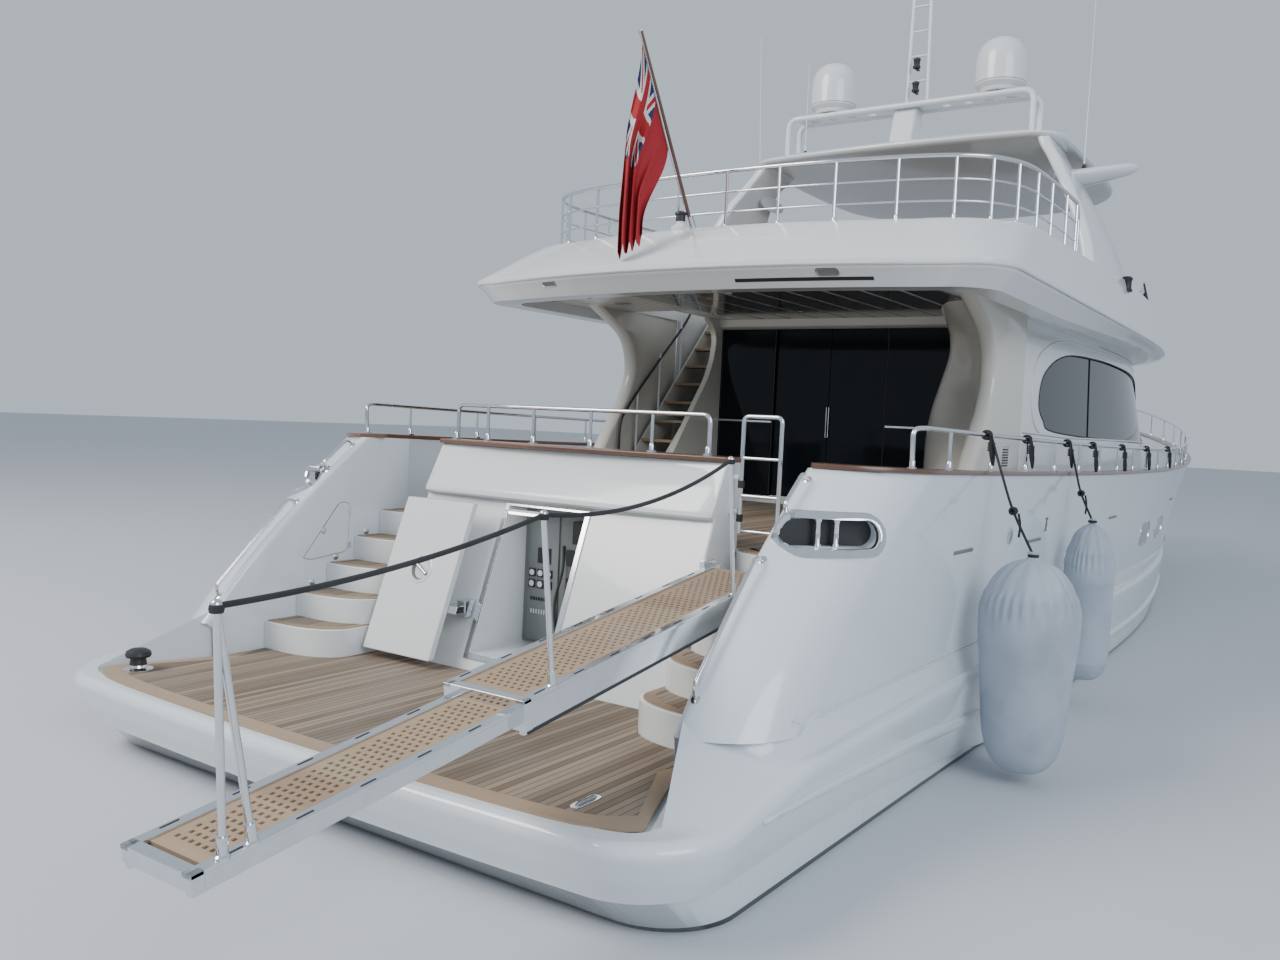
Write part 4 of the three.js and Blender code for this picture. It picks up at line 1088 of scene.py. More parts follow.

# Slots and fittings in the side: (x, z, half length, half height) by look; the slots are grey, painted shade
# standing for their grooves in the hull
sideFittings = {
    "greyPanel": [
        (-9.2, 1.9, 0.24, 0.016), (-7, 1.85, 0.24, 0.016), (-6.62, 1.99, 0.02, 0.07),
        (-3.2, 1.9, 0.24, 0.016),
        (2.4, 1.94, 0.24, 0.016),
    ],
    "stainless": [(-7.9, 1.95, 0.085, 0.085)],
}
for look, spots in sideFittings.items():
    parts = []
    for x, z, half, tall in spots:
        rings = ovalOn(onWall, x, z, half + 0.001, tall, 6, ((0, -0.004), (0, 0.004), (-0.006, 0.008)))
        parts.append(grid(rings, True, True))
    piece("hull.fittings." + look, twoSided(*parts), look, "hull")


# Oval portlights along the cabins, glazed, in polished rims
def portlight(x, z, half=0.3, tall=0.12):
    glass = ovalOn(onWall, x, z, half, tall, 8, ((0, -0.01), (0, 0.004)))
    edges = ((-0.012, 0.002), (-0.008, 0.012), (0.012, 0.012), (0.02, 0), (0.01, -0.01))
    rim = ovalOn(onWall, x, z, half, tall, 8, edges)
    return grid(glass, True, True), grid(rim + [rim[0]], True)


portlights = [
    portlight(x, 1.52 + 0.012 * max(0, x) ** 1.3, *size)
    for x, size in (
        (-5.2, (0.3, 0.13)), (-3.9, (0.3, 0.13)), (-0.4, (0.42, 0.17)), (1.2, (0.42, 0.17)),
        (5.2, (0.3, 0.13)), (6.6, (0.3, 0.13)), (8.6, (0.2, 0.13)),
    )
]
piece("hull.portlights", twoSided(*[glass for glass, rim in portlights]), "darkGlass", "hull")
piece("hull.portRims", twoSided(*[rim for glass, rim in portlights]), "stainless", "hull")


def deckSlab():
    rows = []
    deckAt = lambda x: deckZ if x < 2 else deckZ + 0.75 * ((x - 2) / 11.9) ** 1.6
    core = inset(hull["topside"], 0.11)
    stops = [sternDeckX + (core[5] - 0.02 - sternDeckX) * i / 60 for i in range(61)]
    for x in stops:
        top = [(x, halfBreadth(core, x) * k / 8, deckAt(x)) for k in range(-8, 9)]
        rows.append(top + [(x, y, z - 0.06) for x, y, z in reversed(top)])
    return grid(rows, True, True)


piece("hull.deck", deckSlab(), "deckTeak", "hull", smooth=30)


# The laid platform: boards inside a paler margin, with the capstan and a flush cleat
platformHalf = [
    (-11.335, 0), (-11.335, 1.555), (-12, 2.33), (-12.43, 2.31), (-13.27, 2.64), (-13.46, 2.3), (-13.53, 1.2),
    (-13.55, 0),
]


def platformPlan(inset=0):
    aft = smoothLine([(x + inset, y * (1 - inset / 2.7), 0) for x, y in platformHalf[4:]], 5)
    fore = [Vector((x, max(0, y - inset * (x < -12.2)), 0)) for x, y in platformHalf[:4]]
    half = [(p.x, p.y) for p in fore + aft]
    return half + [(x, -y) for x, y in reversed(half[1:-1])]


treads = [(0.905, -11.99), (1.135, -11.65), (1.375, -11.31), (1.61, -10.98), (1.85, -10.67)]


def stairPlan(nose, gap=0):
    curve = []
    for k in range(13):
        turn = pi / 2 * k / 12
        curve.append((nose + gap + 0.3 * (1 - sin(turn)), blockSide + gap + 0.52 * (1 - cos(turn))))
    return curve + [(nose + gap, wingSide - gap), (-10.3, wingSide - gap), (-10.3, blockSide + gap)]


def platformBoards(inset, low, high):
    feet = [slab([(x - 0.003, y) for x, y in stairPlan(-11.99)], "xy", 0.3, 1.5)]
    return carved(slab(platformPlan(inset), "xy", low, high), feet[0], mirrored(feet[0]))


piece("platform.margin", platformBoards(0, 0.6404, 0.662), "marginTeak", "platform_teak")
piece("platform.boards", platformBoards(0.13, 0.6404, 0.6635), "deckTeak", "platform_teak")
capstanFoot = (-13.19, 2.33, 0.66)
capstanBase = [(0.115, 0), (0.115, 0.017), (0.07, 0.03), (0.06, 0.06)]
capstanHood = [
    (0, 0.05), (0.066, 0.05), (0.058, 0.1), (0.092, 0.112), (0.1, 0.13), (0.092, 0.158), (0.06, 0.176),
    (0, 0.182),
]
piece("capstan.base", solid(capstanBase, capstanFoot), "stainless", "platform_teak")
piece("capstan.hood", turned(capstanHood, capstanFoot), "blackTrim", "platform_teak")
cleatPlate = slab([(x - 13.17, y * 0.8 - 2.17) for x, y in stadium(0.13, 0.045)], "xy", 0.66, 0.669)
cleatLine = [(-13.27, -2.17, 0.664), (-13.24, -2.17, 0.678), (-13.1, -2.17, 0.678), (-13.07, -2.17, 0.664)]
cleatBar = tube(eased(cleatLine, 0.02), 0.011, 8)
piece("flushCleat", joined(cleatPlate, cleatBar), "stainless", "platform_teak", bevel=0.002)


# Stairs: white risers, each tread laid with boards inside a margin that follows its nose
def treadParts(gap, low, high):
    return joined(*[
        slab(
            stairPlan(nose, gap)[:-2] + [(end, wingSide - gap), (end, blockSide + gap)], "xy", z + low,
            z + high,
        )
        for (z, nose), end in zip(treads, [-11.3, -10.98, -10.66, -10.36, -10.35])
    ])


for side, name in hands:
    dress("stair_" + name, "mouldedWhite", 0.012, 3)
    piece(
        "treads." + name, onSide(side, treadParts(0.022, -0.002, 0.008)), "marginTeak", "stair_" + name,
        bevel=0.003,
    )
    piece("treadBoards." + name, onSide(side, treadParts(0.085, 0.004, 0.0095)), "deckTeak", "stair_" + name)
lamps = []
for x, z in ((-10.83, 1.64), (-11.2, 1.42), (-11.47, 1.2)):
    lamps.append(turned(
        [(0, 0), (0.032, 0), (0.032, 0.004), (0.024, 0.009), (0, 0.01)], (x, 2.35, z), (0, -1, 0), 16,
    ))
piece("stairLamps", twoSided(*lamps), "stainless", "hull")

# A locker hatch in the port wing's inner face
hatchOutline = eased(
    [
        (-11.58, 0, 1.44), (-11.17, 0, 1.95), (-11.05, 0, 1.93), (-11.07, 0, 1.47), (-11.5, 0, 1.42),
        (-11.58, 0, 1.44),
    ],
    0.06,
)
hatchFace = [(p.x, p.z) for p in hatchOutline]
rimLine = [(p.x, 2.347, p.z) for p in hatchOutline[:-1]]
piece("locker.hatch", twoSided(slab(hatchFace, "xz", 2.341, 2.352)), "mouldedWhite", "hull", bevel=0.004)
piece("locker.seam", twoSided(tube(rimLine, 0.005, 6, True)), "greyPanel", "hull")
lockerLock = solid([(0.03, 0), (0.03, 0.006), (0.02, 0.01)], (-11.36, 2.345, 1.68), (0, -1, 0), 16)
lockerHinges = [block(-11.075, -11.03, 2.335, 2.345, z - 0.025, z + 0.025) for z in (1.53, 1.86)]
piece("locker.metal", twoSided(joined(lockerLock, *lockerHinges)), "stainless", "hull", bevel=0.002)

# Transom: the block between the stairs, its overhanging upper panel, and the cap over it
dress("transom_block", "mouldedWhite", 0.02, 3)
lean = lambda z: -11.33 + 0.71 * (z - 0.64) / 1.92


def eyebrow():
    rings = []
    stops = [-1.56, -1.55, -1.52, -1.4, -0.9, -0.3, 0.3, 0.9, 1.35, 1.48, 1.54, 1.56]
    for y in stops:
        end = min(1, (1.56 - abs(y)) / 0.06)
        out = 0.035 * end ** 0.5 + 0.03 * (1 - (y / 1.56) ** 2)
        profile = [
            (0.012, 2.535), (0.004 - out * 0.2, 2.52), (-0.018 - out * 0.6, 2.33), (-0.05 - out, 2.19),
            (-0.056 - out, 2.16), (-0.045 - out, 2.125), (-0.015 - out, 2.105), (0.03, 2.1), (0.09, 2.16),
            (0.09, 2.535),
        ]
        rings.append([(lean(z) + dx, y * 0.997, z) for dx, z in profile])
    return grid(rings, True, True)


piece("transom.eyebrow", eyebrow(), "mouldedWhite", "transom_block", smooth=30)
capOutline = [
    (-10.66, -1.57), (-10.69, -0.8), (-10.7, 0), (-10.69, 0.8), (-10.66, 1.57), (-10.37, 1.57),
    (-10.37, -1.57),
]
piece(
    "transom.cap", slab(capOutline, "xy", 2.5604, 2.6), "varnishedTeak", "transom_cap", bevel=0.012,
    segments=3,
)

# Engine doorway: polished frame, lit control panel inside, and the door with its round recessed handle
dress("doorway_frame", "stainless", 0.002)
dress("door_arm", "stainless", 0.004)
door = dress("engine_door", "mouldedWhite", 0.012, 3)
doorSkin = skinOf(door)
slope = Vector((-0.938, 0, 0.347))
face = struck(doorSkin, (-12, 1.08, 1.62), (1, 0, 0))
handleFoot = Vector((face.x - 0.056, 1.08, 1.47))
rim = turned(
    [(0.105, -0.004), (0.108, 0.006), (0.122, 0.008), (0.134, 0.004), (0.136, -0.006)], handleFoot, slope, 40,
)
dish = solid([(0.09, -0.024), (0.106, 0.004), (0.1, -0.03)], handleFoot, slope, 40)
across = Vector((0.15, 0.8, 0.42)).normalized()
grip = tube(
    [handleFoot - across * 0.098 + slope * 0.004, handleFoot + across * 0.098 + slope * 0.004],
    [0.017, 0.017], 10,
)
piece("engineDoor.rim", (rim[0], rim[1][:-2]), "mouldedWhite", "engine_door", smooth=60)
piece("engineDoor.dish", dish, "greyPanel", "engine_door")
piece("engineDoor.grip", grip, "stainless", "engine_door", bevel=0.004)

panelX = -10.58
piece(
    "controls.panel",
    joined(
        block(panelX, panelX + 0.02, -0.325, 0.515, 0.81, 2.05),
        block(panelX - 0.018, panelX, 0.12, 0.46, 0.84, 1.98),
    ),
    "greyPanel", "transom_block", bevel=0.004,
)
screens = [block(panelX - 0.026, panelX - 0.016, 0.2, 0.35, 1.54, 1.68)]
dials = []
for row, z in enumerate((1.45, 1.35)):
    for y in (0.405, 0.31, 0.215):
        screens.append(block(panelX - 0.03, panelX - 0.016, y - 0.036, y + 0.036, z - 0.036, z + 0.036))
        dials.append(turned(
            [(0, 0), (0.027, 0), (0.027, 0.003), (0, 0.004)], (panelX - 0.0305, y, z), (-1, 0, 0), 16,
        ))
for k in range(8):
    screens.append(block(panelX - 0.028, panelX - 0.016, 0.19 + 0.03 * k, 0.205 + 0.03 * k, 1.2, 1.23))
    dials.append(block(panelX - 0.024, panelX - 0.016, 0.19 + 0.03 * k, 0.2 + 0.03 * k, 1.08, 1.12))
screens += [block(panelX - 0.03, panelX, -0.28, 0.02, z, z + 0.14) for z in (0.9, 1.1, 1.3, 1.55)]
screens += [block(panelX - 0.06, panelX, -0.24, -0.06, 1.75, 1.95)]
piece("controls.screens", screens, "blackTrim", "transom_block", bevel=0.003)
piece("controls.dials", dials, "mouldedWhite", "transom_block")
hoseBends = ((0.05, 0, 0.82), (0.07, 0.03, 1.2), (0.04, -0.02, 1.5), (0.01, 0, 1.72))
hosePaths = [[(panelX - out, y + aside, z) for out, aside, z in hoseBends] for y in (-0.1, -0.17, 0.07)]
hoses = [tube(smoothLine(path), 0.012, 8) for path in hosePaths]
piece("controls.hoses", hoses, "darkRubber", "transom_block")
piece("controls.lamp", tube([(-10.9, 0.1, 2), (-10.9, 0.45, 2)], 0.014, 10), "tubeLight", "transom_block")
piece(
    "controls.lampBase", block(-10.92, -10.88, 0.06, 0.49, 2.01, 2.03), "mouldedWhite", "transom_block",
    bevel=0.003,
)
print("stern made")


# Gangway: two telescoping frames with perforated boards, drawn level at the pivot and pitched into place
pitch = radians(-8)
gangway = Matrix.Translation((-11.05, -1.985, 1.76)) @ Matrix.Rotation(pitch, 4, "Y")
frames = {
    "inner": {
        "body": "passerelle", "from": -2.85, "to": 0.05, "half": 0.285, "top": 0.04, "low": -0.15,
        "holes": (113, 19), "board": (2.74, 0.45, 0.004, -1.41), "slots": (-2.7, 0, 0.262, 0.0405),
    },
    "outer": {
        "body": "passerelle_end", "from": -4.7, "to": -1.75, "half": 0.235, "top": -0.012, "low": -0.11,
        "holes": (117, 15), "board": (2.82, 0.35, -0.046, -3.2), "slots": (-4.5, -2.95, 0.212, -0.0115),
    },
}
webWide, flangeThick, boardThick, slotStep, hingeHalf = 0.06, 0.022, 0.022, 0.34, 0.285


def channel(part):
    sides = []
    for side in (1, -1):
        half, top = part["half"], part["top"]
        sides.append(block(
            part["from"], part["to"], side * (half - webWide), side * half, top - flangeThick, top,
        ))
        web = (side * (half - 0.012), side * (half - webWide + 0.01))
        sides.append(block(part["from"] + 0.004, part["to"] - 0.004, *web, part["low"], top - 0.02))
    return joined(*sides)


def endPlate(part):
    return block(
        part["from"], part["from"] + webWide, -part["half"], part["half"], part["low"] + 0.02, part["top"],
    )


def boardMesh(part):
    length, width, z, centre = part["board"]
    rows, lanes = part["holes"]
    start = bpy.data.meshes.new("boardStart")
    values = {
        "Length": length, "Width": width, "Rows": rows, "Lanes": lanes, "Margin": 2, "Thickness": boardThick,
        "Finish": finishes["marginTeak"][0],
    }
    mesh = grown(start, board, boardInputs, values)
    mesh.transform(gangway @ Matrix.Translation((centre, 0, z)))
    return mesh


# Slots in the flanges, a row each side
def flangeSlots(part):
    first, last, y, z = part["slots"]
    spots = [
        (gangway @ Vector((x, side * y, z)), (0, pitch, 0), (1, 1, 1))
        for x in np.arange(first, last, slotStep) for side in (1, -1)
    ]
    return scattered(slab(stadium(0.045, 0.006, 4), "xy", -0.0006, 0.0009), spots, "blackTrim")


def pitched(shape):
    return placed(shape, gangway)


def gangPost(foot, head, y, low):
    way = Vector((head - foot, 0, 0.95 - low))
    post = tube([(foot, y, low), (head, y, 0.955)], 0.016, 12)
    socket = solid(
        [(0.032, 0), (0.032, 0.012), (0.024, 0.02), (0.024, 0.09)], (foot, y, low + 0.012), way, 16,
    )
    ball = [(0.024 * sin(pi * k / 8), 0.024 - 0.024 * cos(pi * k / 8)) for k in range(1, 8)]
    knob = turned([(0, 0), *ball, (0, 0.048)], (head, y, 0.94), steps=16)
    return joined(post, socket, knob)


pads = [block(-1.9, -1.76, side * 0.212 - 0.022, side * 0.212 + 0.022, -0.1346, -0.105) for side in (1, -1)]
ends = {"inner": [block(-0.04, 0.05, -hingeHalf, hingeHalf, -0.15, -0.02)], "outer": pads}
shades = {
    "inner": joined(
        block(-2.82, 0.02, -0.28, 0.28, -0.149, -0.135), block(-2.78, -0.02, -0.225, 0.225, -0.008, -0.004),
    ),
    "outer": block(-4.66, -1.76, -0.18, 0.18, -0.062, -0.05),
}
gangPosts = {
    "inner": joined(gangPost(-2.6, -2.6, -0.265, 0.02), gangPost(-0.64, -0.64, -0.265, 0.02)),
    "outer": joined(gangPost(-4.415, -4.465, -0.213, -0.032), gangPost(-4.55, -4.465, -0.213, -0.032)),
}
for name, part in frames.items():
    label, at = "passerelle." + name, ("passerelle_" + name, part["body"])
    piece(label + "Frame", pitched(channel(part)), "stainless", *at, bevel=0.004)
    piece(label + "End", pitched(joined(endPlate(part), *ends[name])), "stainless", *at, bevel=0.004)
    piece(label + "Shade", pitched(shades[name]), "blackTrim", *at)
    piece(label + "Boards", boardMesh(part), "marginTeak", *at, smooth=20)
    piece(label + "Slots", flangeSlots(part), "blackTrim", *at)
    piece(label + "Posts", pitched(gangPosts[name]), "stainless", *at)
hinge = rod(0.05, hingeHalf, (0, 0, -0.06), (0, 1, 0), low=-hingeHalf)
piece("passerelle.hinge", pitched(hinge), "stainless", "passerelle_inner", "passerelle", bevel=0.004)
dress("passerelle_foot", "stainless", 0.006)


# The black rope that serves as a handrail, sagging between the posts
def ropeSpan(a, b, sag, steps=24):
    a, b = Vector(a), Vector(b)
    return [
        a.lerp(b, k / steps) - Vector((0, 0, sag * 4 * (k / steps) * (1 - k / steps)))
        for k in range(steps + 1)
    ]


postHeads = [
    gangway @ Vector(p)
    for p in ((-4.465, -0.213, 0.96), (-2.6, -0.265, 0.96), (-0.64, -0.265, 0.96))
]
outerRope = ropeSpan(postHeads[0], postHeads[1], 0.05)
innerRope = ropeSpan(postHeads[1], postHeads[2], 0.11)
ropes = {
    "gangRope.outer": {
        "path": outerRope, "node": "passerelle_outer",
        "span": ("passerelle_end", "passerelle", tuple(postHeads[0]), tuple(postHeads[1])),
    },
    "gangRope.inner": {"path": innerRope, "node": "passerelle_inner"},
}
for name, rope in ropes.items():
    made = piece(
        name, tube(rope["path"], 0.013, 10), "blackRope", rope["node"], "passerelle", smooth=60,
        span=rope.get("span"),
    )
    length = sum((b - a).length for a, b in zip(rope["path"], rope["path"][1:]))
    tuple(rope["path"][-1])
    [tuple(p) for p in rope["path"]]
wraps = [
    turned(
        [(0, 0), (0.026, 0.004), (0.03, 0.02), (0.026, 0.036), (0, 0.04)], p - Vector((0, 0, 0.03)), steps=14,
    )
    for p in postHeads
]
piece("gangRope.knots", wraps[1:], "blackRope", "passerelle_inner", "passerelle", smooth=60)
piece("gangRope.outerKnot", wraps[0], "blackRope", "passerelle_outer", "passerelle_end", smooth=60)
print("gangway made")


# Rails: round stainless bars with eased bends, posts and square-based ferrules
barHigh, barMid, postRadius = 0.019, 0.011, 0.0145
ferrule = joined(
    slab([(-0.032, -0.026), (0.032, -0.026), (0.032, 0.026), (-0.032, 0.026)], "xy", 0, 0.012),
    solid([(0.022, 0), (0.022, 0.06), (0.016, 0.07)], (0, 0, 0), steps=12),
)


def posts(feet, tall, radius=postRadius):
    shape = rod(radius, tall, (0, 0, 0), steps=10)
    return scattered(shape, [upright(foot) for foot in feet], "stainless")


coamingLine = [
    (-8.4, 4.9), (-7.9, 4.91), (-6, 4.94), (-4.6, 4.96), (-2.6, 5.02), (-1.3, 4.99), (0.9, 4.93), (2.8, 4.8),
    (3.7, 4.6), (4.7, 4.42),
]
coamingAt = lambda x: alongLine(coamingLine, x)
upperHalf = [(-5.1, 2.85), (-6.3, 2.86), (-7.3, 2.78), (-7.83, 2.33), (-8.08, 1.2), (-8.15, 0)]
upperPath = upperHalf + [(x, -y) for x, y in reversed(upperHalf[:-1])]
upperLine = [Vector((x, y, coamingAt(x))) for x, y in upperPath]
upperBars = []
for high, radius in ((0.62, barHigh + 0.003), (0.4, barMid), (0.19, barMid)):
    run = smoothLine([p + Vector((0, 0, high)) for p in upperLine], 8)
    if high > 0.6:
        ends = [[run[i] + Vector((0.1, 0, -0.12)), run[i] + Vector((0.1, 0, -0.62))] for i in (0, -1)]
        run = [ends[0][1], ends[0][0]] + run + ends[1]
        run = eased(run, 0.09, 6)
    upperBars.append(tube(run, radius, 12))
piece("upperRail.bars", upperBars, "stainless", "upper_rail", smooth=50)
spacing = smoothLine(upperLine, 8)
feet = [p + Vector((0, 0, -0.03)) for p in spacing[4:-1:8] + upperLine]
piece("upperRail.posts", posts(feet, 0.65, 0.016), "stainless", "upper_rail")
piece(
    "upperRail.feet", scattered(ferrule, [upright(p + Vector((0, 0, 0.025))) for p in feet], "stainless"),
    "stainless", "upper_rail",
)

transomLine = [(-10.48, -1.3), (-10.5, -0.9), (-10.5, 0), (-10.5, 0.9), (-10.48, 1.5)]
transomTop = [Vector((x, y, 2.93)) for x, y in transomLine]
transomEnds = [Vector((*transomLine[i], 2.605)) for i in (0, -1)]
transomPath = eased([transomEnds[0], *transomTop, transomEnds[1]], 0.07, 6)
piece("transomRail.bar", tube(transomPath, barHigh, 12), "stainless", "transom_rail", smooth=50)
transomFeet = [Vector((-10.5, y, 2.6)) for y in (-1.3, -0.75, -0.1, 0.55, 1.1, 1.5)]
piece(
    "transomRail.posts", [rod(postRadius, 0.33, p, steps=10) for p in transomFeet[1:-1]], "stainless",
    "transom_rail",
)
piece(
    "transomRail.feet", scattered(ferrule, [upright(p) for p in transomFeet], "stainless"), "stainless",
    "transom_rail",
)


# The rail on each cap: its after end curves down to the wood
capRow = hull["cap"]


def onCap(x):
    return Vector((x, halfBreadth(capRow, x) - 0.07, heightAt(capRow, x) + 0.037))


railFoot = [onCap(x) for x in np.arange(-10.2, 13.5, 0.55)]
rise = lambda x: 0.31 + max(0, x - 4) * 0.03
railTop = [p + Vector((0, 0, rise(p.x))) for p in railFoot]
loop = [railFoot[0] + Vector((-0.12, -0.05, 0)), railFoot[0] + Vector((-0.14, -0.05, 0.3))]
sideTop = eased(loop + railTop, 0.13, 8)
sideShape = tube(sideTop, barHigh, 12)
sidePosts = [railFoot[i] for i in range(1, len(railFoot), 2)]
postShapes = [rod(postRadius, rise(p.x), p, steps=10) for p in sidePosts]
for side, name in hands:
    node = "side_rail_" + name
    piece(node + ".bar", onSide(side, sideShape), "stainless", node, smooth=50)
    piece(node + ".posts", onSide(side, joined(*postShapes)), "stainless", node)
    spots = [upright((p.x, side * p.y, p.z)) for p in [*sidePosts, loop[0]]]
    piece(node + ".feet", scattered(ferrule, spots, "stainless"), "stainless", node)


# Caps: varnished boards with rounded edges
def capBoard():
    edges = [
        (0, 0.006), (0, 0.028), (0.012, 0.036), (0.5, 0.04), (0.97, 0.036), (1, 0.028), (1, 0.006), (0.97, 0),
        (0.03, 0),
    ]
    outer = []
    straight = capRow[3] - capRow[2]
    start = sideX(capRow)
    for k in range(15):
        turn = pi / 2 * k / 14
        x, y = start - capRow[2] * cos(turn), straight + capRow[2] * sin(turn)
        if y > 2.33:
            outer.append((x, y))
    outer += sideRun(capRow, 48)
    rings = []
    for x, y in outer:
        z = heightAt(capRow, x) + 0.0005
        share = max(0, min(1, (-9.8 - x) / 0.9))
        inX = x + 0.21 * min(1, share * 1.4)
        inY = max(0.001, y - 0.175)
        if x < -9.9:
            inY = max(2.3, inY)
        out = (x - 0.01 * share, y + 0.025)
        rings.append([(*mixRow(out, (inX, inY), w), z + h) for w, h in edges])
    return grid(rings, True, True)


capBoards = capBoard()
for side, name in hands:
    piece("cap_" + name + ".board", onSide(side, capBoards), "varnishedTeak", "cap_" + name, smooth=40)

# Quarter handrails on the sloping wing edges, as eased loops
wallSkin = skinOf(wall)
for node, low, high in (("wing_rail_low", 1.16, 1.96), ("wing_rail_high", 2.25, 2.49)):
    for side, name in hands:
        lowest, highest = [struck(wallSkin, (-14, side * 2.42, z), (1, 0, 0)) for z in (low, high)]
        away = Vector((-0.68, 0, 0.73))
        span = highest - lowest
        path = eased(
            [
                lowest - away * 0.02, lowest + away * 0.085 + span * 0.04,
                highest + away * 0.085 - span * 0.04, highest - away * 0.02,
            ],
            0.06, 6,
        )
        bases = [
            solid([(0.034, 0), (0.034, 0.006), (0.024, 0.012)], p - away * 0.004, away, 16)
            for p in (lowest, highest)
        ]
        piece(
            node + "_" + name + ".bar", joined(tube(path, 0.016, 12), *bases), "stainless", node + "_" + name,
            smooth=50,
        )

# Stern gate: a ladder frame with hooped corners and dark hinge blocks
gateHoop = eased(
    [(-10.55, -1.65, 2), (-10.55, -1.65, 2.93), (-10.55, -1.985, 2.93), (-10.55, -1.985, 2)], 0.05, 6,
)
gateBars = [tube([(-10.55, -1.65, z), (-10.55, -1.985, z)], 0.013, 10) for z in (2.02, 2.3, 2.6)]
piece(
    "gate.frame", joined(tube(gateHoop, 0.017, 12), *gateBars), "stainless", "stern_gate", "gate", smooth=50,
)
gateEyes = [rod(0.026, 0.06, (-10.55, -1.65, z), steps=14) for z in (2.09, 2.36)]
piece("gate.hinges", gateEyes, "blackTrim", "stern_gate", "gate", bevel=0.003)
print("rails made")


# Upper deck: the overhanging moulding as one closed loft, with a rounded lip, a sunk deck and a hatchway
ceilingZ = 4.28


def outlineOf(sternX, camber, corner, aft, wide, bowX, full, nose):
    points, start = sternCurve(sternX, camber, corner, aft)
    for t in forwardSteps(sideSteps):
        swell = aft + (wide - aft) * sin(min(1, t / 0.45) * pi / 2)
        taper = 1 if t < 0.4 else (1 - ((t - 0.4) / 0.6) ** full) ** nose
        points.append((start + (bowX - start) * t, 0 if t == 1 else swell * taper))
    return points


def loftOf(levels):
    return stacked([[(x, y, z(x)) for x, y in outlineOf(*row)] for row, z in levels])


soffit = lambda x: alongLine([(-6, 4.16), (-1, 4.28)], x)
bandRow = (-9.04, 0.44, 0.48, 2.97, 2.975, 4.7, 3.2, 0.45)
lipRow = (-9.23, 0.56, 0.5, 3.14, 3.15, 5.3, 3.2, 0.45)
fasciaRow = (-8.42, 0.7, 0.9, 2.96, 3.01, 4.7, 3.2, 0.45)
flatZ = lambda z: (lambda x: z)
deckLevels = [
    (mixRow(bandRow, lipRow, -0.25), lambda x: soffit(x) + 0.004), (mixRow(bandRow, lipRow, -0.05), soffit),
    (bandRow, lambda x: soffit(x) + 0.008),
]
deckLevels += [
    (mixRow(bandRow, lipRow, t), lambda x, up=up: soffit(x) + (4.335 - soffit(x)) * up)
    for t, up in ((0.35, 0.5), (0.72, 0.85), (0.8, 0.93), (0.82, 1))
]
deckLevels += [(mixRow(bandRow, lipRow, t), flatZ(z)) for t, z in ((0.93, 4.34), (0.99, 4.352), (1, 4.37))]
deckLevels += [
    (mixRow(lipRow, fasciaRow, t), lambda x, up=up: 4.395 + (coamingAt(x) - 4.395) * up)
    for t, up in ((0, 0), (0.025, 0.03), (0.3, 0.32), (0.62, 0.66), (0.88, 0.9), (0.95, 0.965), (1, 0.99))
]
deckLevels += [(inset(fasciaRow, 0.015), coamingAt), (inset(fasciaRow, 0.06), lambda x: coamingAt(x) + 0.004)]
wellLow = (fasciaRow[0] + 0.33, 0.7, 0.64, 2.63, 2.68, 2.6, 3.2, 0.45)
wellTop = (fasciaRow[0] + 0.26, 0.7, 0.7, 2.7, 2.75, 2.8, 3.2, 0.45)
wellShape = loftOf([(wellLow, flatZ(4.7)), (wellLow, flatZ(4.72)), (wellTop, flatZ(5.2))])
ceilingRow = (-8.78, 0.42, 0.4, 2.7, 2.72, 0, 12, 1)
ceilingShape = loftOf([(ceilingRow, flatZ(4)), (ceilingRow, flatZ(ceilingZ))])
hatchShape = block(-6.45, -4.22, 1.66, 2.29, 4, 5.2)
upper = piece(
    "upperDeck.moulding", carved(loftOf(deckLevels), wellShape, ceilingShape, hatchShape), "mouldedWhite",
    "upper_deck", smooth=32,
)

# The walking deck in the well, laid with boards clear of the hatchway
deckBoards = carved(
    loftOf([(inset(wellLow, 0.09), flatZ(4.701)), (inset(wellLow, 0.09), flatZ(4.708))]),
    block(-6.55, -4.12, 1.57, 2.38, 4, 5.2),
)
piece("upperDeck.boards", deckBoards, "deckTeak", "upper_deck")

# Ceiling of the overhang: dark glossy panels between pale battens, paler planks to port, a speaker and lamps
panels = []
battens = []
for k in range(9):
    y = -2.2 + 0.385 * k
    panels.append(block(-8.5 + 0.22 * (abs(y) / 2.7) ** 2, -5.5, y, y + 0.345, 4.264, 4.278))
    battens.append(block(-8.4, -5.6, y + 0.352, y + 0.378, 4.266, 4.2775))
piece("ceiling.panels", panels, "darkPanel", "upper_deck", bevel=0.004)
piece("ceiling.battens", battens, "creamMoulding", "upper_deck")
planks = [block(-8.35, -6.6, 1.3 + 0.13 * k, 1.415 + 0.13 * k, 4.266, 4.278) for k in range(8)]
piece("ceiling.planks", planks, "creamMoulding", "upper_deck", bevel=0.004)
lampRings = []
for x, y in ((-8, -1.9), (-8, 0), (-8, 1.85), (-6.2, -1.9), (-6.2, 0), (-6.2, 1.2)):
    lampRings.append(solid(
        [(0.05, 0), (0.05, 0.004), (0.036, 0.01), (0.03, 0.004)], (x, y, 4.266), (0, 0, -1), 20,
    ))
piece("ceiling.lamps", lampRings, "stainless", "upper_deck")
speaker = solid([(0.1, 0), (0.1, 0.006), (0.088, 0.012), (0.08, 0.008)], (-7.4, 1.8, 4.268), (0, 0, -1), 28)
piece("ceiling.speaker", speaker, "greyPanel", "upper_deck")
skin = skinOf(upper)


def onFascia(y, z, lift):
    return struck(skin, (-11, y, z), (1, 0, 0), lift)


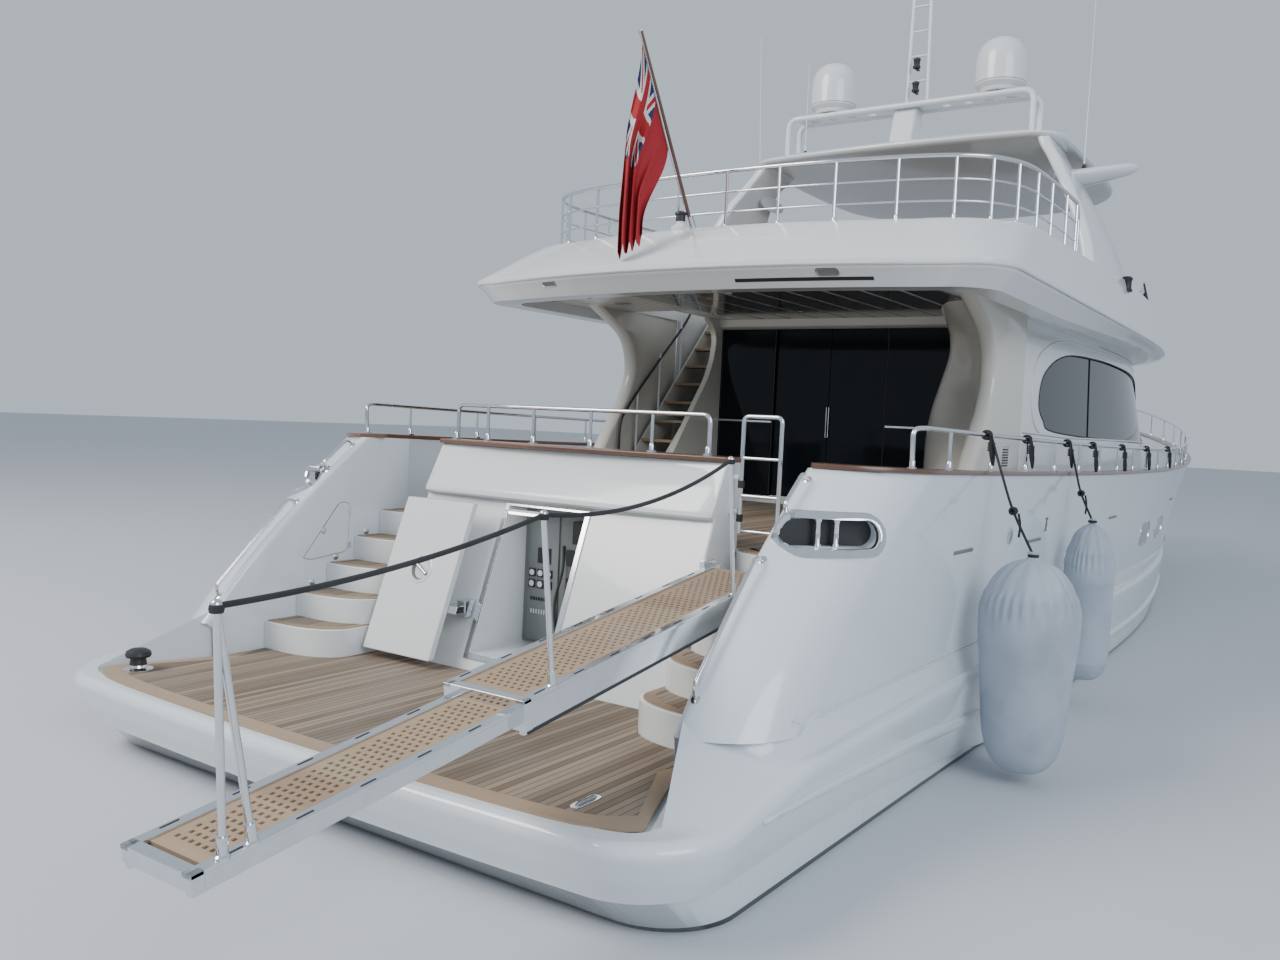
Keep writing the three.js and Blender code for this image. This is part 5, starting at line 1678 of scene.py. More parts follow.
slotRings = [
    [
        onFascia(-0.67 - 1.32 * k / 16, z, lift)
        for z, lift in ((4.215, -0.01), (4.215, 0.003), (4.245, 0.003), (4.245, -0.01))
    ]
    for k in range(17)
]
piece("fascia.slot", grid(slotRings, True, True), "blackTrim", "upper_deck")
ovals = []
glows = []
for y in (-1.59, 1.66):
    edges = ((0, -0.004), (0, 0.006), (-0.01, 0.008), (-0.013, 0.003))
    ovals.append(grid(ovalOn(onFascia, y, 4.285, 0.11, 0.032, 6, edges), True))
    glows.append(grid(ovalOn(onFascia, y, 4.285, 0.098, 0.019, 6, ((0, -0.003), (0, 0.003))), True, True))
piece("fascia.rims", ovals, "stainless", "upper_deck")
piece("fascia.lamps", glows, "greyPanel", "upper_deck")
header = slab(
    [(-5.31, 4.15), (-5.37, 4.18), (-5.39, 4.279), (-5.301, 4.279), (-5.301, 4.15)], "xz", -2.3, 1.6,
)
piece("header", header, "creamMoulding", "deckhouse", bevel=0.01)
print("upper deck made")


# Deckhouse: a closed loft made hollow, its window a smooth outline, with the glass set in the wall
houseRows = [
    ((-5.3, 0, 0.09, 2.44, 2.48, 8.9, 2.6, 0.5), deckTop), ((-5.3, 0, 0.09, 2.43, 2.47, 8.5, 2.6, 0.5), 2.9),
    ((-5.3, 0, 0.09, 2.36, 2.4, 6, 3, 0.45), ceilingLow),
]


def houseLoft(gap, low=None, high=None):
    rows = [(inset(row, gap), z) for row, z in houseRows]
    rows[0] = (rows[0][0], low or rows[0][1])
    rows[2] = (rows[2][0], high or rows[2][1])
    fine = []
    for (one, z0), (two, z1) in zip(rows, rows[1:]):
        fine += [(mixRow(one, two, k / 4), flatZ(z0 + (z1 - z0) * k / 4)) for k in range(4)]
    return loftOf(fine + [(rows[2][0], flatZ(rows[2][1]))])


sideWindow = [
    (-4.46, 3.33), (-4.15, 3.7), (-3.08, 3.98), (-1.2, 4.07), (0.45, 4.08), (2.2, 4.05), (3.44, 3.95),
    (4.7, 3.6), (5.6, 3.27), (5.3, 3), (4.5, 2.89), (0, 2.9), (-3.65, 2.96), (-4.25, 3.1),
]
windowLine = smoothOutline(sideWindow, loop=True)
windowPlate = slab(windowLine, "xz", -4, 4)
screenOutline = [(5.4, 3.95), (12, 3.95), (12, 3.08), (7.5, 3.08)]
screenPlate = slab(screenOutline, "xz", -1.75, 1.75)
cuts = [
    houseLoft(0.08, 1.91, 4.19), block(-5.5, -4.19, 1.6, 2.29, 1.94, 4.4),
    block(-6, -4.9, -1.6, 1.6, 1.94, 4.17), windowPlate, screenPlate,
]
piece("deckhouse.shell", carved(houseLoft(0), *cuts), "mouldedWhite", "deckhouse", smooth=32)
houseSkin = skinOf(houseLoft(0))


def glassOf(plate):
    return carved(carved(houseLoft(0.022), houseLoft(0.05)), plate, operation="INTERSECT")


paneOutline = [(0.6 + (x - 0.6) * 1.002, 3.48 + (z - 3.48) * 1.004) for x, z in windowLine]
for node, side in (("side_glass_port", 1), ("side_glass_starboard", -1)):
    half = slab(paneOutline, "xz", *sorted((side * 1, side * 3)))
    piece(node + ".pane", glassOf(half), "sideGlass", node, smooth=40)
screenGlass = glassOf(slab([(5.38, 3.96), (12, 3.96), (12, 3.07), (7.48, 3.07)], "xz", -1.76, 1.76))
piece("windscreen.pane", screenGlass, "darkGlass", "windscreen", smooth=40)


def onHouse(x, z, lift=0):
    return struck(houseSkin, (x, -5, z), (0, 1, 0), lift)


windowRim = [onHouse(x, z, -0.002) for x, z in windowLine]
piece("window.rim", twoSided(tube(windowRim, 0.011, 8, True)), "darkRubber", "deckhouse", smooth=60)
mullionX = -1.6
zs = [z for x, z in windowLine if abs(x - mullionX) < 0.35]
low, high = min(zs), max(zs)
mullion = [onHouse(mullionX + 0.06 * t, low + (high - low) * t, -0.016) for t in (0, 0.25, 0.5, 0.75, 1)]
piece("window.mullions", twoSided(tube(mullion, 0.007, 8)), "blackTrim", "side_glass_starboard", smooth=60)
beadPoints = [
    (-4, 2.93), (-4.5, 2.96), (-4.78, 3.2), (-4.72, 3.62), (-4.3, 3.95), (-3.2, 4.16), (-1.2, 4.2),
    (2.4, 4.19), (3.9, 4.08), (5.2, 3.72), (6, 3.3),
]
beadLine = [onHouse(x, z, 0.002) for x, z in smoothOutline(beadPoints, 6)]
piece("window.bead", twoSided(tube(beadLine, 0.012, 8)), "mouldedWhite", "deckhouse", smooth=60)
sill = [onHouse(x, 2.9 + 0.004 * max(0, -x - 3) * 4, 0.004) for x in np.arange(-5.2, 6.3, 0.3)]
piece("window.ledge", twoSided(tube(sill, 0.014, 8)), "mouldedWhite", "deckhouse", smooth=60)
smallWindow = smoothOutline(
    [(5.95, 3.3), (6.4, 3.28), (7, 3.05), (6.95, 2.93), (6, 2.94), (5.75, 3.1)], loop=True,
)
smallMiddle = (6.35, 3.1)
smallRings = [
    [onHouse(*mixRow(smallMiddle, spot, share), lift) for spot in smallWindow]
    for share, lift in (
        (0.02, -0.02), (1, -0.02), (1, 0.003), (0.8, 0.004), (0.6, 0.004), (0.4, 0.004), (0.2, 0.004),
        (0.02, 0.004),
    )
]
piece("window.fore", twoSided(grid(smallRings, True, True)), "sideGlass", "deckhouse")
piece(
    "window.foreRim", twoSided(tube([onHouse(x, z, 0) for x, z in smallWindow], 0.012, 8, True)),
    "darkRubber", "deckhouse", smooth=60,
)

# The wings that carry the overhang: smooth sections between the measured rows of (z, edge, glass side)
wingRows = [
    (deckTop, -7.4, -1.48), (2.5, -7.05, -1.49), (2.85, -6.8, -1.5), (3.15, -6.58, -1.545),
    (3.45, -6.45, -1.63), (3.75, -6.48, -1.71), (3.95, -6.62, -1.71), (4.08, -6.85, -1.68),
    (ceilingLow, -7.3, -1.59),
]
wingLine = smoothLine([(edge, glass, z) for z, edge, glass in wingRows], 5)


def wingSection(edge, glass, z, port):
    front = houseAft
    nose = []
    for k in range(7):
        turn = pi * k / 6
        nose.append((edge + 0.06 - 0.06 * sin(turn), -2.345 - 0.095 * cos(turn)))
    if port:
        inner = [(edge + 0.3, -2.27), (front, -2.34)]
    else:
        bend = (edge + 0.52, (glass - 2.25) / 2 - 0.02)
        inner = smoothOutline([
            (edge + 0.06, -2.25), (edge + 0.3, -2.2), bend, (-5.9, glass - 0.03), (front, glass),
        ])[1:]
    return [(x, y, z) for x, y in [(front, -2.44)] + nose + inner]


starboardWing = grid([wingSection(p.x, p.y, p.z, False) for p in wingLine], True, True)
portWing = mirrored(grid([wingSection(p.x, p.y, p.z, True) for p in wingLine], True, True))
piece("side_wing_starboard.panel", starboardWing, "creamMoulding", "side_wing_starboard", smooth=50)
piece("side_wing_port.panel", portWing, "creamMoulding", "side_wing_port", smooth=50)
louvreSpots = [(-6.02 + 0.003 * k, 2.54 + 0.03 * k) for k in range(7)]
louvres = [
    slab(
        [(x, z), (-5.78, z), (-5.78, z + 0.015), (x, z + 0.015)], "xz", -2.447, -2.436,
    ) for x, z in louvreSpots
]
piece("louvre.slots", twoSided(*louvres), "blackTrim", "side_wing_starboard")
rimSpots = ((-6.05, 2.52), (-6.05, 2.77), (-5.75, 2.77), (-5.75, 2.52), (-6.04, 2.52))
rimPath = eased([(x, -2.441, z) for x, z in rimSpots], 0.04, 4)[:-1]
louvreRim = twoSided(tube(rimPath, 0.008, 8, True))
piece("louvre.rim", louvreRim, "mouldedWhite", "side_wing_starboard", smooth=60)

# Upper stair: the wall that parts it from the saloon, stringers, treads, posts and its handrail
wallEdge = [
    (-6.9, deckTop), (-6.35, 2.56), (-5.86, 3.18), (-5.6, 3.52), (-5.46, 3.9), (-5.5, 4.12),
    (-5.7, ceilingLow),
]
stairWall = smoothOutline(wallEdge, 6) + [
    (-4.2, ceilingLow), (-4.2, saloonSill), (houseAft, saloonSill), (houseAft, deckTop),
]
piece(
    "upperStair.wall",
    joined(slab(stairWall, "xz", 1.6004, 1.68), block(-4.25, -4.2, 1.68, 2.26, saloonSill, ceilingLow)),
    "creamMoulding", "upper_stair", bevel=0.02, segments=3,
)
riser = 2.85 / 11
noseZ = lambda x: 1.85 + riser + (x + 6.8) * riser / 0.25
stringerLine = [
    (-6.86, deckTop), (-6.47, deckTop), (-4.2204, noseZ(-4.2204) - 0.42), (-4.2204, 4.68), (-4.32, 4.68),
    (-6.86, noseZ(-6.86) - 0.03),
]
piece(
    "upperStair.stringers",
    joined(slab(stringerLine, "xz", 1.681, 1.71), slab(stringerLine, "xz", 2.18, 2.21)), "creamMoulding",
    "upper_stair", bevel=0.006,
)
treadTops = [(-6.8 + 0.25 * k, 1.85 + riser * (k + 1)) for k in range(10)]
treadShapes = [block(x, x + 0.27, 1.705, 2.185, z - 0.035, z) for x, z in treadTops]
piece("upperStair.treads", treadShapes, "marginTeak", "upper_stair", bevel=0.006)
railLine = smoothLine(
    [
        (-6.75, 2.2, 2.1), (-6.78, 2.2, 2.75), (-6.6, 2.2, 3.05), (-6, 2.2, 3.62), (-5.35, 2.2, 4.2),
        (-5.1, 2.2, 4.5),
    ],
    6,
)
piece("upperStair.rail", tube(railLine, 0.017, 10), "blackTrim", "upper_stair", smooth=60)
stairPosts = [rod(0.014, 0.86, (x, 2.2, noseZ(x) - 0.12), steps=10) for x in (-6.4, -5.9, -5.4)]
piece("upperStair.posts", stairPosts, "whitePaint", "upper_stair")

# Saloon: the four panes, a bright bar and edge strips on the fixed ones, a handle on each door
for node in ("saloon_glass_port", "saloon_glass_starboard", "saloon_door_port", "saloon_door_starboard"):
    dress(node, "sideGlass", 0.003)
fixedTrim, edgeTrim = [], []
for side in (1, -1):
    fixedTrim.append(block(-5.298, -5.291, side * 0.79, side * 1.59, 2.915, 2.94))
    for near, far in ((1.572, 1.59), (0.772, 0.784)):
        edgeTrim.append(block(-5.297, -5.291, side * near, side * far, 1.96, 4.15))
piece("saloon.trim", fixedTrim, "stainless", ["saloon_glass_port", "saloon_glass_starboard"], bevel=0.002)
piece("saloon.edgeTrim", edgeTrim, "blackTrim", ["saloon_glass_port", "saloon_glass_starboard"], bevel=0.002)
for side, name in hands:
    grip = [(x, side * 0.016, z) for x, z in ((-5.252, 2.75), (-5.272, 2.75), (-5.272, 3.15), (-5.252, 3.15))]
    handle = tube(eased(grip, 0.02), 0.008, 8)
    piece("saloon.handle." + name, handle, "stainless", "saloon_door_" + name, "saloon_leaf_" + name)
track = block(-5.29, -5.2, -1.59, 1.59, saloonSill, 1.95)
piece("saloon.track", track, "stainless", "deckhouse", bevel=0.002)
print("deckhouse made")


# Arch legs with their swept fins, and the hardtop, with softened sections
archRows = [
    (4.85, 2.94, -4.3, -1.85), (5.3, 2.84, -4.16, -2.13), (5.75, 2.67, -4.01, -2.44),
    (6.15, 2.48, -3.88, -2.72), (6.5, 2.28, -3.7, -2.82), (6.7796, 2.12, -3.6, -2.6),
]
legLine = smoothLine([row[1:] for row in archRows], 5)
legHigh = np.interp(np.arange(len(legLine)) / 5, range(len(archRows)), [row[0] for row in archRows])


def legSection(out, aft, fore, z):
    section = []
    for cx, cy, first in (
        (fore - 0.06, out - 0.05, 0), (aft + 0.06, out - 0.05, 1), (aft + 0.06, out - 0.11, 2),
        (fore - 0.06, out - 0.11, 3),
    ):
        for k in range(5):
            turn = pi / 2 * (first + k / 4)
            section.append((cx + 0.06 * cos(turn), cy + 0.05 * sin(turn), z))
    return section


leg = grid([legSection(p.x, p.y, p.z, z) for p, z in zip(legLine, legHigh)], True, True)
finRows = [
    (2.15, -2.97, 6.32, 0.38, 0.11), (2.2, -2.95, 6.33, 0.36, 0.105), (2.6, -2.74, 6.42, 0.27, 0.092),
    (2.9, -2.56, 6.5, 0.17, 0.074), (3.01, -2.5, 6.53, 0.08, 0.04),
]
finLine = []
for one, two in zip(finRows, finRows[1:]):
    finLine += [mixRow(one, two, t) for t in (0, 0.34, 0.67)]
finLine.append((3.035, -2.495, 6.535, 0.02, 0.012))
finRings = [[(x + long * c, y, z + tall * s) for c, s in circle(20)] for y, x, z, long, tall in finLine]
fin = grid(finRings, True, True)
for side, name in hands:
    piece("arch_" + name + ".leg", onSide(side, leg), "whitePaint", "arch_" + name, smooth=50)
    piece("arch_" + name + ".fin", onSide(side, fin), "whitePaint", "arch_" + name, smooth=50)
roofRow = (-3.7, 0.15, 0.5, 2.18, 2.2, 1.5, 4, 0.42)
roofWide = (-3.78, 0.15, 0.5, 2.26, 2.28, 1.62, 4, 0.42)
roofHigh = (-3.5, 0.15, 0.5, 1.9, 1.92, 1.3, 4, 0.42)
roofLevels = [
    (mixRow(roofRow, roofWide, t), flatZ(z))
    for t, z in ((-0.3, 6.782), (0, 6.782), (0.5, 6.79), (0.85, 6.808), (1, 6.832), (0.92, 6.856))
]
roofLevels += [
    (mixRow(roofWide, roofHigh, t), flatZ(z))
    for t, z in ((0.25, 6.89), (0.6, 6.926), (0.85, 6.943), (1, 6.95), (1.4, 6.951))
]
piece("hardtop.moulding", loftOf(roofLevels), "whitePaint", "hardtop", smooth=40)

# Mast frame: two hoops on a raked post, a pierced beam, and the ladder mast
mastX, beamLow, beamHigh = -3.05, 7.506, 7.524
hoop = lambda x: tube(
    eased([(x, -1.8, 6.95), (x, -1.8, 7.52), (x, 1.8, 7.52), (x, 1.8, 6.95)], 0.16, 8), 0.042, 14,
)
beam = slab(
    [(-0.19 + mastX, -1.71), (0.19 + mastX, -1.71), (0.19 + mastX, 1.71), (-0.19 + mastX, 1.71)], "xy",
    beamLow, beamHigh,
)
holes = [
    rod(0.062, 0.1, (mastX, y, 7.51), steps=20, low=-0.1)
    for y in (-1.45, -1.15, -0.85, -0.55, 0.55, 0.85, 1.15, 1.45)
]
post = slab([(-3.35, 6.9504), (-2.95, 6.9504), (-2.9, 7.51), (-3.18, 7.51)], "xz", -0.17, 0.17)
piece("mast.hoops", joined(hoop(mastX - 0.19), hoop(mastX + 0.19)), "whitePaint", "mast_frame", smooth=50)
piece("mast.beam", carved(beam, *holes), "whitePaint", "mast_frame", bevel=0.003)
piece("mast.post", post, "whitePaint", "mast_frame", bevel=0.04, segments=4)
pads = [
    slab([(mastX + 0.19 * c, y + 0.37 * s) for c, s in circle(24)], "xy", 7.52, 7.564)
    for y in (-1.275, 1.175)
]
piece("mast.pads", pads, "whitePaint", "mast_frame", bevel=0.008)
rungs = [7.9, 8.25, 8.6, 8.95, 9.3, 9.65]
stiles = [
    tube([(mastX, -0.12 + dy, beamTop), (mastX, -0.12 + dy * 0.75, 9.9)], 0.026, 12)
    for dy in (-0.15, 0.15)
]
treadBars = [tube([(mastX, -0.26, z), (mastX, 0.02, z)], 0.014, 10) for z in rungs]
piece(
    "mast.ladder", [*stiles, *treadBars, block(mastX - 0.06, mastX + 0.06, -0.39, 0.08, beamTop, 7.565)],
    "whitePaint", "mast_ladder", smooth=50,
)
lanternShape = [
    (0, 0), (0.05, 0), (0.055, 0.01), (0.055, 0.03), (0.04, 0.035), (0.045, 0.1), (0.052, 0.11),
    (0.05, 0.135), (0.02, 0.15), (0, 0.152),
]
lanterns = [turned(lanternShape, (mastX - 0.09, -0.12, z), steps=20) for z in (7.72, 8.05)]
brackets = [block(mastX - 0.1, mastX, -0.14, -0.1, z - 0.015, z) for z in (7.72, 8.05)]
piece("mast.lanterns", lanterns + brackets, "blackTrim", "mast_ladder")
domeShape = [
    (0, 0), (0.25, 0), (0.262, 0.012), (0.268, 0.05), (0.3, 0.075), (0.333, 0.1), (0.336, 0.12),
    (0.33, 0.124), (0.336, 0.13), (0.337, 0.3), (0.334, 0.42), (0.322, 0.52), (0.295, 0.6), (0.245, 0.672),
    (0.175, 0.72), (0.09, 0.745), (0, 0.752),
]
for node, y in (("dome_port", 1.17), ("dome_starboard", -1.29)):
    piece(node + ".shell", turned(domeShape, (mastX, y, padTop), steps=48), "whitePaint", node, smooth=40)
    piece(
        node + ".seam",
        turned([(0.3365, 0.121), (0.3385, 0.124), (0.3365, 0.127)], (mastX, y, padTop), steps=48),
        "greyPanel", node, smooth=80,
    )
aerials = [
    ((-2.9, -2.42, 6.44), (-2.95, -2.44, 8.9)), ((-2.9, 2.42, 6.44), (-2.98, 2.5, 8.95)),
    ((-3.25, 1.5, 6.93), (-3.27, 1.5, 8.3)),
]
whips = []
for foot, head in aerials:
    foot, head = Vector(foot), Vector(head)
    whips.append(tube(
        [foot, foot.lerp(head, 0.12), foot.lerp(head, 0.14), foot.lerp(head, 0.5), head],
        [0.016, 0.014, 0.008, 0.006, 0.0035], 8,
    ))
piece("aerials", whips, "whitePaint", "hardtop", smooth=60)
aerialFeet = [solid([(0.03, 0), (0.028, 0.06), (0.018, 0.1)], foot, steps=14) for foot, head in aerials]
piece("aerialFeet", aerialFeet, "blackTrim", "hardtop")


# Side lights on the fascia, black with a bright rim
lightShape = [
    (0, 0), (0.07, 0), (0.075, 0.02), (0.06, 0.05), (0.06, 0.14), (0.075, 0.17), (0.05, 0.2), (0, 0.205),
]
bracket = rod(0.02, 0.2, (-2.78, -2.86, 4.9), (0, -1, 0.45), 12)
piece("sideLights", twoSided(turned(lightShape, (-2.78, -3.03, 4.85), steps=20)), "blackTrim", "upper_deck")
piece("sideLight.arms", twoSided(bracket), "stainless", "upper_deck")

# Flagstaff in its socket, and the stern lantern on its stand
staffFoot, staffTop = Vector((-8.23, 0.33, 4.86)), Vector((-9.3, 0.4, 6.7))
staffLine = [staffFoot.lerp(staffTop, t) for t in (0, 0.3, 0.7, 0.985)]
piece(
    "flagstaff.pole", tube(staffLine, [0.02, 0.019, 0.016, 0.013], 14), "varnishedTeak", "flagstaff",
    smooth=60,
)
staffWay = staffTop - staffFoot
truck = turned(
    [(0, 0), (0.02, 0.004), (0.026, 0.014), (0.024, 0.024), (0, 0.03)], staffFoot.lerp(staffTop, 0.98),
    staffWay, 16,
)
socket = solid(
    [(0.05, -0.02), (0.05, 0), (0.036, 0.012), (0.034, 0.17), (0.038, 0.18)],
    staffFoot + Vector((0, 0, 0.03)), staffWay, 20,
)
piece(
    "flagstaff.fittings", joined(truck, socket, block(-8.3, -8.19, 0.29, 0.43, 4.862, 4.9)), "stainless",
    "flagstaff", bevel=0.002,
)
stand = [(0, 0), (0.07, 0), (0.066, 0.02), (0.046, 0.03), (0.046, 0.06), (0, 0.06)]
lantern = [(0, 0.058), (0.052, 0.058), (0.05, 0.12), (0.066, 0.13), (0.06, 0.15), (0.03, 0.165), (0, 0.168)]
piece(
    "sternLight.stand",
    joined(block(-8.47, -8.33, 0.33, 0.47, 4.84, 4.925), turned(stand, (-8.4, 0.4, 4.92))), "whitePaint",
    "flagstaff", bevel=0.008,
)
piece("sternLight.lantern", turned(lantern, (-8.4, 0.4, 4.92)), "blackTrim", "flagstaff")
print("arch and mast made")


# Fenders in cloth sleeves: the top gathered in pleats under a drawn cord, hung on a rope from the rail
def fenderSleeve(x, y, radius, low, high, slim, rings):
    tall = high - low
    profile = [(0, 0), (0.32, 0.012), (0.58, 0.05), (0.8, 0.14), (0.93, 0.27), (1, 0.42)]
    profile = [(slim * r, h * radius / 0.4) for r, h in profile] + [
        (slim + (1 - slim) * 0.4, tall * 0.45), (0.99, tall - 0.66), (1, tall - 0.5),
    ]
    profile += [
        (0.97, tall - 0.4), (0.9, tall - 0.3), (0.76, tall - 0.18), (0.56, tall - 0.085), (0.34, tall - 0.03),
        (0.14, tall - 0.002), (0.09, tall + 0.03), (0.12, tall + 0.055), (0, tall + 0.06),
    ]
    profile = smoothOutline(profile, 4)
    count = 200
    layers = []
    for share, height in profile:
        ring = []
        below = tall - height
        pleat = 1 / (1 + ((below - 0.37) / 0.085) ** 4)
        cap = max(0, min(1, (0.34 - below) / 0.1))
        seam = 0.006 / (1 + ((below - 0.3) / 0.01) ** 2)
        for k in range(count):
            turn = 2 * pi * k / count
            fold = 0.5 + 0.5 * sin(turn * 27 + sin(turn * 4 + 1) * 1.5)
            crease = sin(turn * 5 + height * 4) * 0.003 + sin(turn * 3 - height * 6) * 0.0025
            crease += rings * sin(height * 42 + sin(turn * 2) * 1.2)
            tuck = cap * 0.02 * min(1, share * 2) * sin(turn * 14 + sin(turn * 3) * 1.2)
            out = radius * (max(share, 0) + 0.062 * pleat * (fold - 0.5) + tuck)
            out += min(1, share * 3) * (crease + seam)
            ring.append((x + max(out, 0.0008) * cos(turn), y + max(out, 0.0008) * sin(turn), low + height))
        layers.append(ring)
    return grid(layers, True, True)


def railAt(x):
    return -(halfBreadth(capRow, x) - 0.07), heightAt(capRow, x) + 0.037 + 0.31


def knotOn(x, y, z, size=0.03):
    reach = size + 0.012
    coils = [
        tube([(x + dx, y + reach * c, z + reach * s) for c, s in circle(14)], 0.011, 8, True)
        for dx in (-0.024, 0, 0.024)
    ]
    fall = [
        (x + 0.02, y - 0.04, z - 0.02), (x + 0.035, y - 0.055, z - 0.12), (x + 0.03, y - 0.05, z - 0.22),
    ]
    return joined(*coils, tube(smoothLine(fall, 4), 0.01, 8))


# A short hank: loops of different lengths bound by turns near the top
def hankOn(x, y, z, drop):
    parts = [knotOn(x, y, z, 0.022)]
    for k, (lean, wide) in enumerate(((-0.035, 0.03), (-0.012, 0.045), (0.015, 0.035), (0.04, 0.028))):
        low = drop * (0.82 + 0.09 * k)
        line = [
            (x + lean * 0.4, y - 0.035, z - 0.02), (x + lean - wide, y - 0.05 - 0.006 * k, z - low * 0.6),
            (x + lean, y - 0.055, z - low), (x + lean + wide, y - 0.045 + 0.006 * k, z - low * 0.6),
            (x + lean * 0.4 + 0.015, y - 0.035, z - 0.02),
        ]
        parts.append(tube(smoothLine(line, 7), 0.0085, 8))
    for k in range(4):
        height = z - 0.07 - 0.02 * k
        turn = [(x + 0.03 * c, y - 0.044 + 0.026 * s, height) for c, s in circle(12)]
        parts.append(tube(turn, 0.0085, 8, True))
    return joined(*parts)


fenders = {
    "fender_aft": {
        "x": -8.95, "y": -3.54, "radius": 0.4, "low": 0.09, "high": 1.93, "knot": -8.72, "slim": 0.84,
        "rings": 0,
    },
    "fender_forward": {
        "x": -6.02, "y": -3.425, "radius": 0.252, "low": 0.33, "high": 2.05, "knot": -5.85, "slim": 0.95,
        "rings": 0.0028,
    },
}
for node, at in fenders.items():
    x, y, high, railX = at["x"], at["y"], at["high"], at["knot"]
    shape = fenderSleeve(x, y, at["radius"], at["low"], high - 0.06, at["slim"], at["rings"])
    sleeve = piece(node + ".sleeve", shape, "fenderCloth", node, smooth=60)
    railY, railZ = railAt(railX)
    top = Vector((x, y, high - 0.03))
    start = Vector((railX, railY - 0.04, railZ - 0.01))
    middle = start.lerp(top, 0.62) + Vector((0, 0.03, -0.02))
    hung = smoothLine([start, start.lerp(middle, 0.5) + Vector((0, 0, -0.015)), middle, top], 6)
    rigging = {
        "lanyard": tube(hung, 0.011, 10),
        "knot": hankOn(railX, railY, railZ, 0.24),
        "bend": knotOn(middle.x, middle.y, middle.z, 0.012),
        "collar": solid([(0.042, 0), (0.048, 0.012), (0.042, 0.024)], (x, y, high - 0.045), steps=20),
    }
    for name, shape in rigging.items():
        piece(node + "." + name, shape, "blackRope", node, smooth=60)

# Spare lines made up on the rail in short hanks
hankSpots = [(-7.45, 0.25), (-4.6, 0.31), (-2.8, 0.35), (-0.9, 0.3), (1.2, 0.28)]
hanks = [hankOn(x, *railAt(x), drop) for x, drop in hankSpots]
piece("railHanks", hanks, "blackRope", "side_rail_starboard", smooth=60)


# The hoist runs down the leaning staff; each thread drops from it and swings in to the gathered fall
def bunting():
    rings = []
    columns, rows = 120, 56
    for r in range(rows + 1):
        v = r / rows
        ring = []
        for c in range(columns + 1):
            u = c / columns
            tip = (6.56 - 0.9 * u, -9.221 + 0.522 * u, 0.425 - 0.02 * u)
            step = (u * 4 + 0.15) % 1
            fall = 2.02 - 1.1 * (((u * 4 + 0.15) // 1 + step ** 3) / 4.2)
            down = v * fall
            gather = min(1, down / 0.85)
            gather = gather * gather * (3 - 2 * gather)
            fold = 0.084 * gather * (0.75 + 0.25 * sin(u * 5 + 1))
            fold *= sin(2 * pi * 3.4 * u + 0.5 * sin(down * 2.4) + 0.3)
            ripple = 0.012 * gather * sin(2 * pi * 7.3 * u + down * 2.1)
            x = tip[1] - 0.43 * u * gather + (fold + ripple) * 0.83 + 0.03 * gather
            y = tip[2] + 0.21 * (1 - u) * gather * (0.55 + 0.45 * min(1, down / 1.6)) + (fold + ripple) * 0.56
            ring.append((x, y, tip[0] - down + 0.012 * sin(u * 40) * v))
        rings.append(ring)
    return rings


def clothOf(rings, name, look, thickness, **given):
    rows, columns = len(rings) - 1, len(rings[0]) - 1
    mesh = bpy.data.meshes.new(name)
    shape = grid(rings)
    mesh.from_pydata([tuple(p) for p in shape[0]], [], shape[1])
    layer = mesh.uv_layers.new(name="cloth")
    for loop in mesh.loops:
        i = loop.vertex_index
        layer.data[loop.index].uv = ((i % (columns + 1)) / columns, 1 - (i // (columns + 1)) / rows)
    made = piece(name, mesh, look, smooth=80, weld=0, **given)
    cloth = made.modifiers.new("thickness", "SOLIDIFY")
    cloth.thickness = thickness
    cloth.offset = 0
    return made


flag = clothOf(bunting(), "flag.cloth", "ensign", 0.0015, nodes="flag")
halyard = tube(
    [
        (-9.285, 0.43, 6.67), (-9.221, 0.418, 6.562), (-8.96, 0.41, 6.11), (-8.695, 0.4, 5.655),
        (-8.4, 0.37, 5.15),
    ],
    0.004, 8,
)
piece("flag.hoistRope", halyard, "fenderCloth", "flag", smooth=60)
print("soft goods made")


# Settee on the upper deck: moulded base with buttoned seat and back cushions
def cushionShape(x0, x1, y0, y1, z0, z1, crown=0.03, corner=0.05, count=14):
    rings = []
    layers = [
        (0, 0.5), (0.02, 0.82), (0.12, 0.97), (0.3, 1), (0.5, 1), (0.7, 1), (0.88, 0.97), (0.98, 0.82),
        (1, 0.5),
    ]
    cx, cy = (x0 + x1) / 2, (y0 + y1) / 2
    hx, hy = (x1 - x0) / 2, (y1 - y0) / 2
    for up, grow in layers:
        ring = []
        inset = corner * (1 - grow)
        for k in range(4 * count):
            side, t = divmod(k, count)
            t = t / count * 2 - 1
            px, py = [(t, -1), (1, t), (-t, 1), (-1, -t)][side]
            px, py = px * (1 - 0.04 * py * py * abs(px) ** 6), py * (1 - 0.04 * px * px * abs(py) ** 6)
            pinch = 0.006 * sin((px + py) * 9)
            ring.append((
                cx + px * (hx - inset), cy + py * (hy - inset), z0 + (z1 - z0) * up + pinch * (up > 0.6),
            ))
        rings.append(ring)
    top = []
    for grow, lift in ((0.4, 0.6), (0.25, 0.9), (0.1, 1)):
        top.append([
            (cx + (p[0] - cx) * grow / 0.5, cy + (p[1] - cy) * grow / 0.5, z1 + crown * lift)
            for p in rings[-1]
        ])
    return grid(rings + top, True, True)


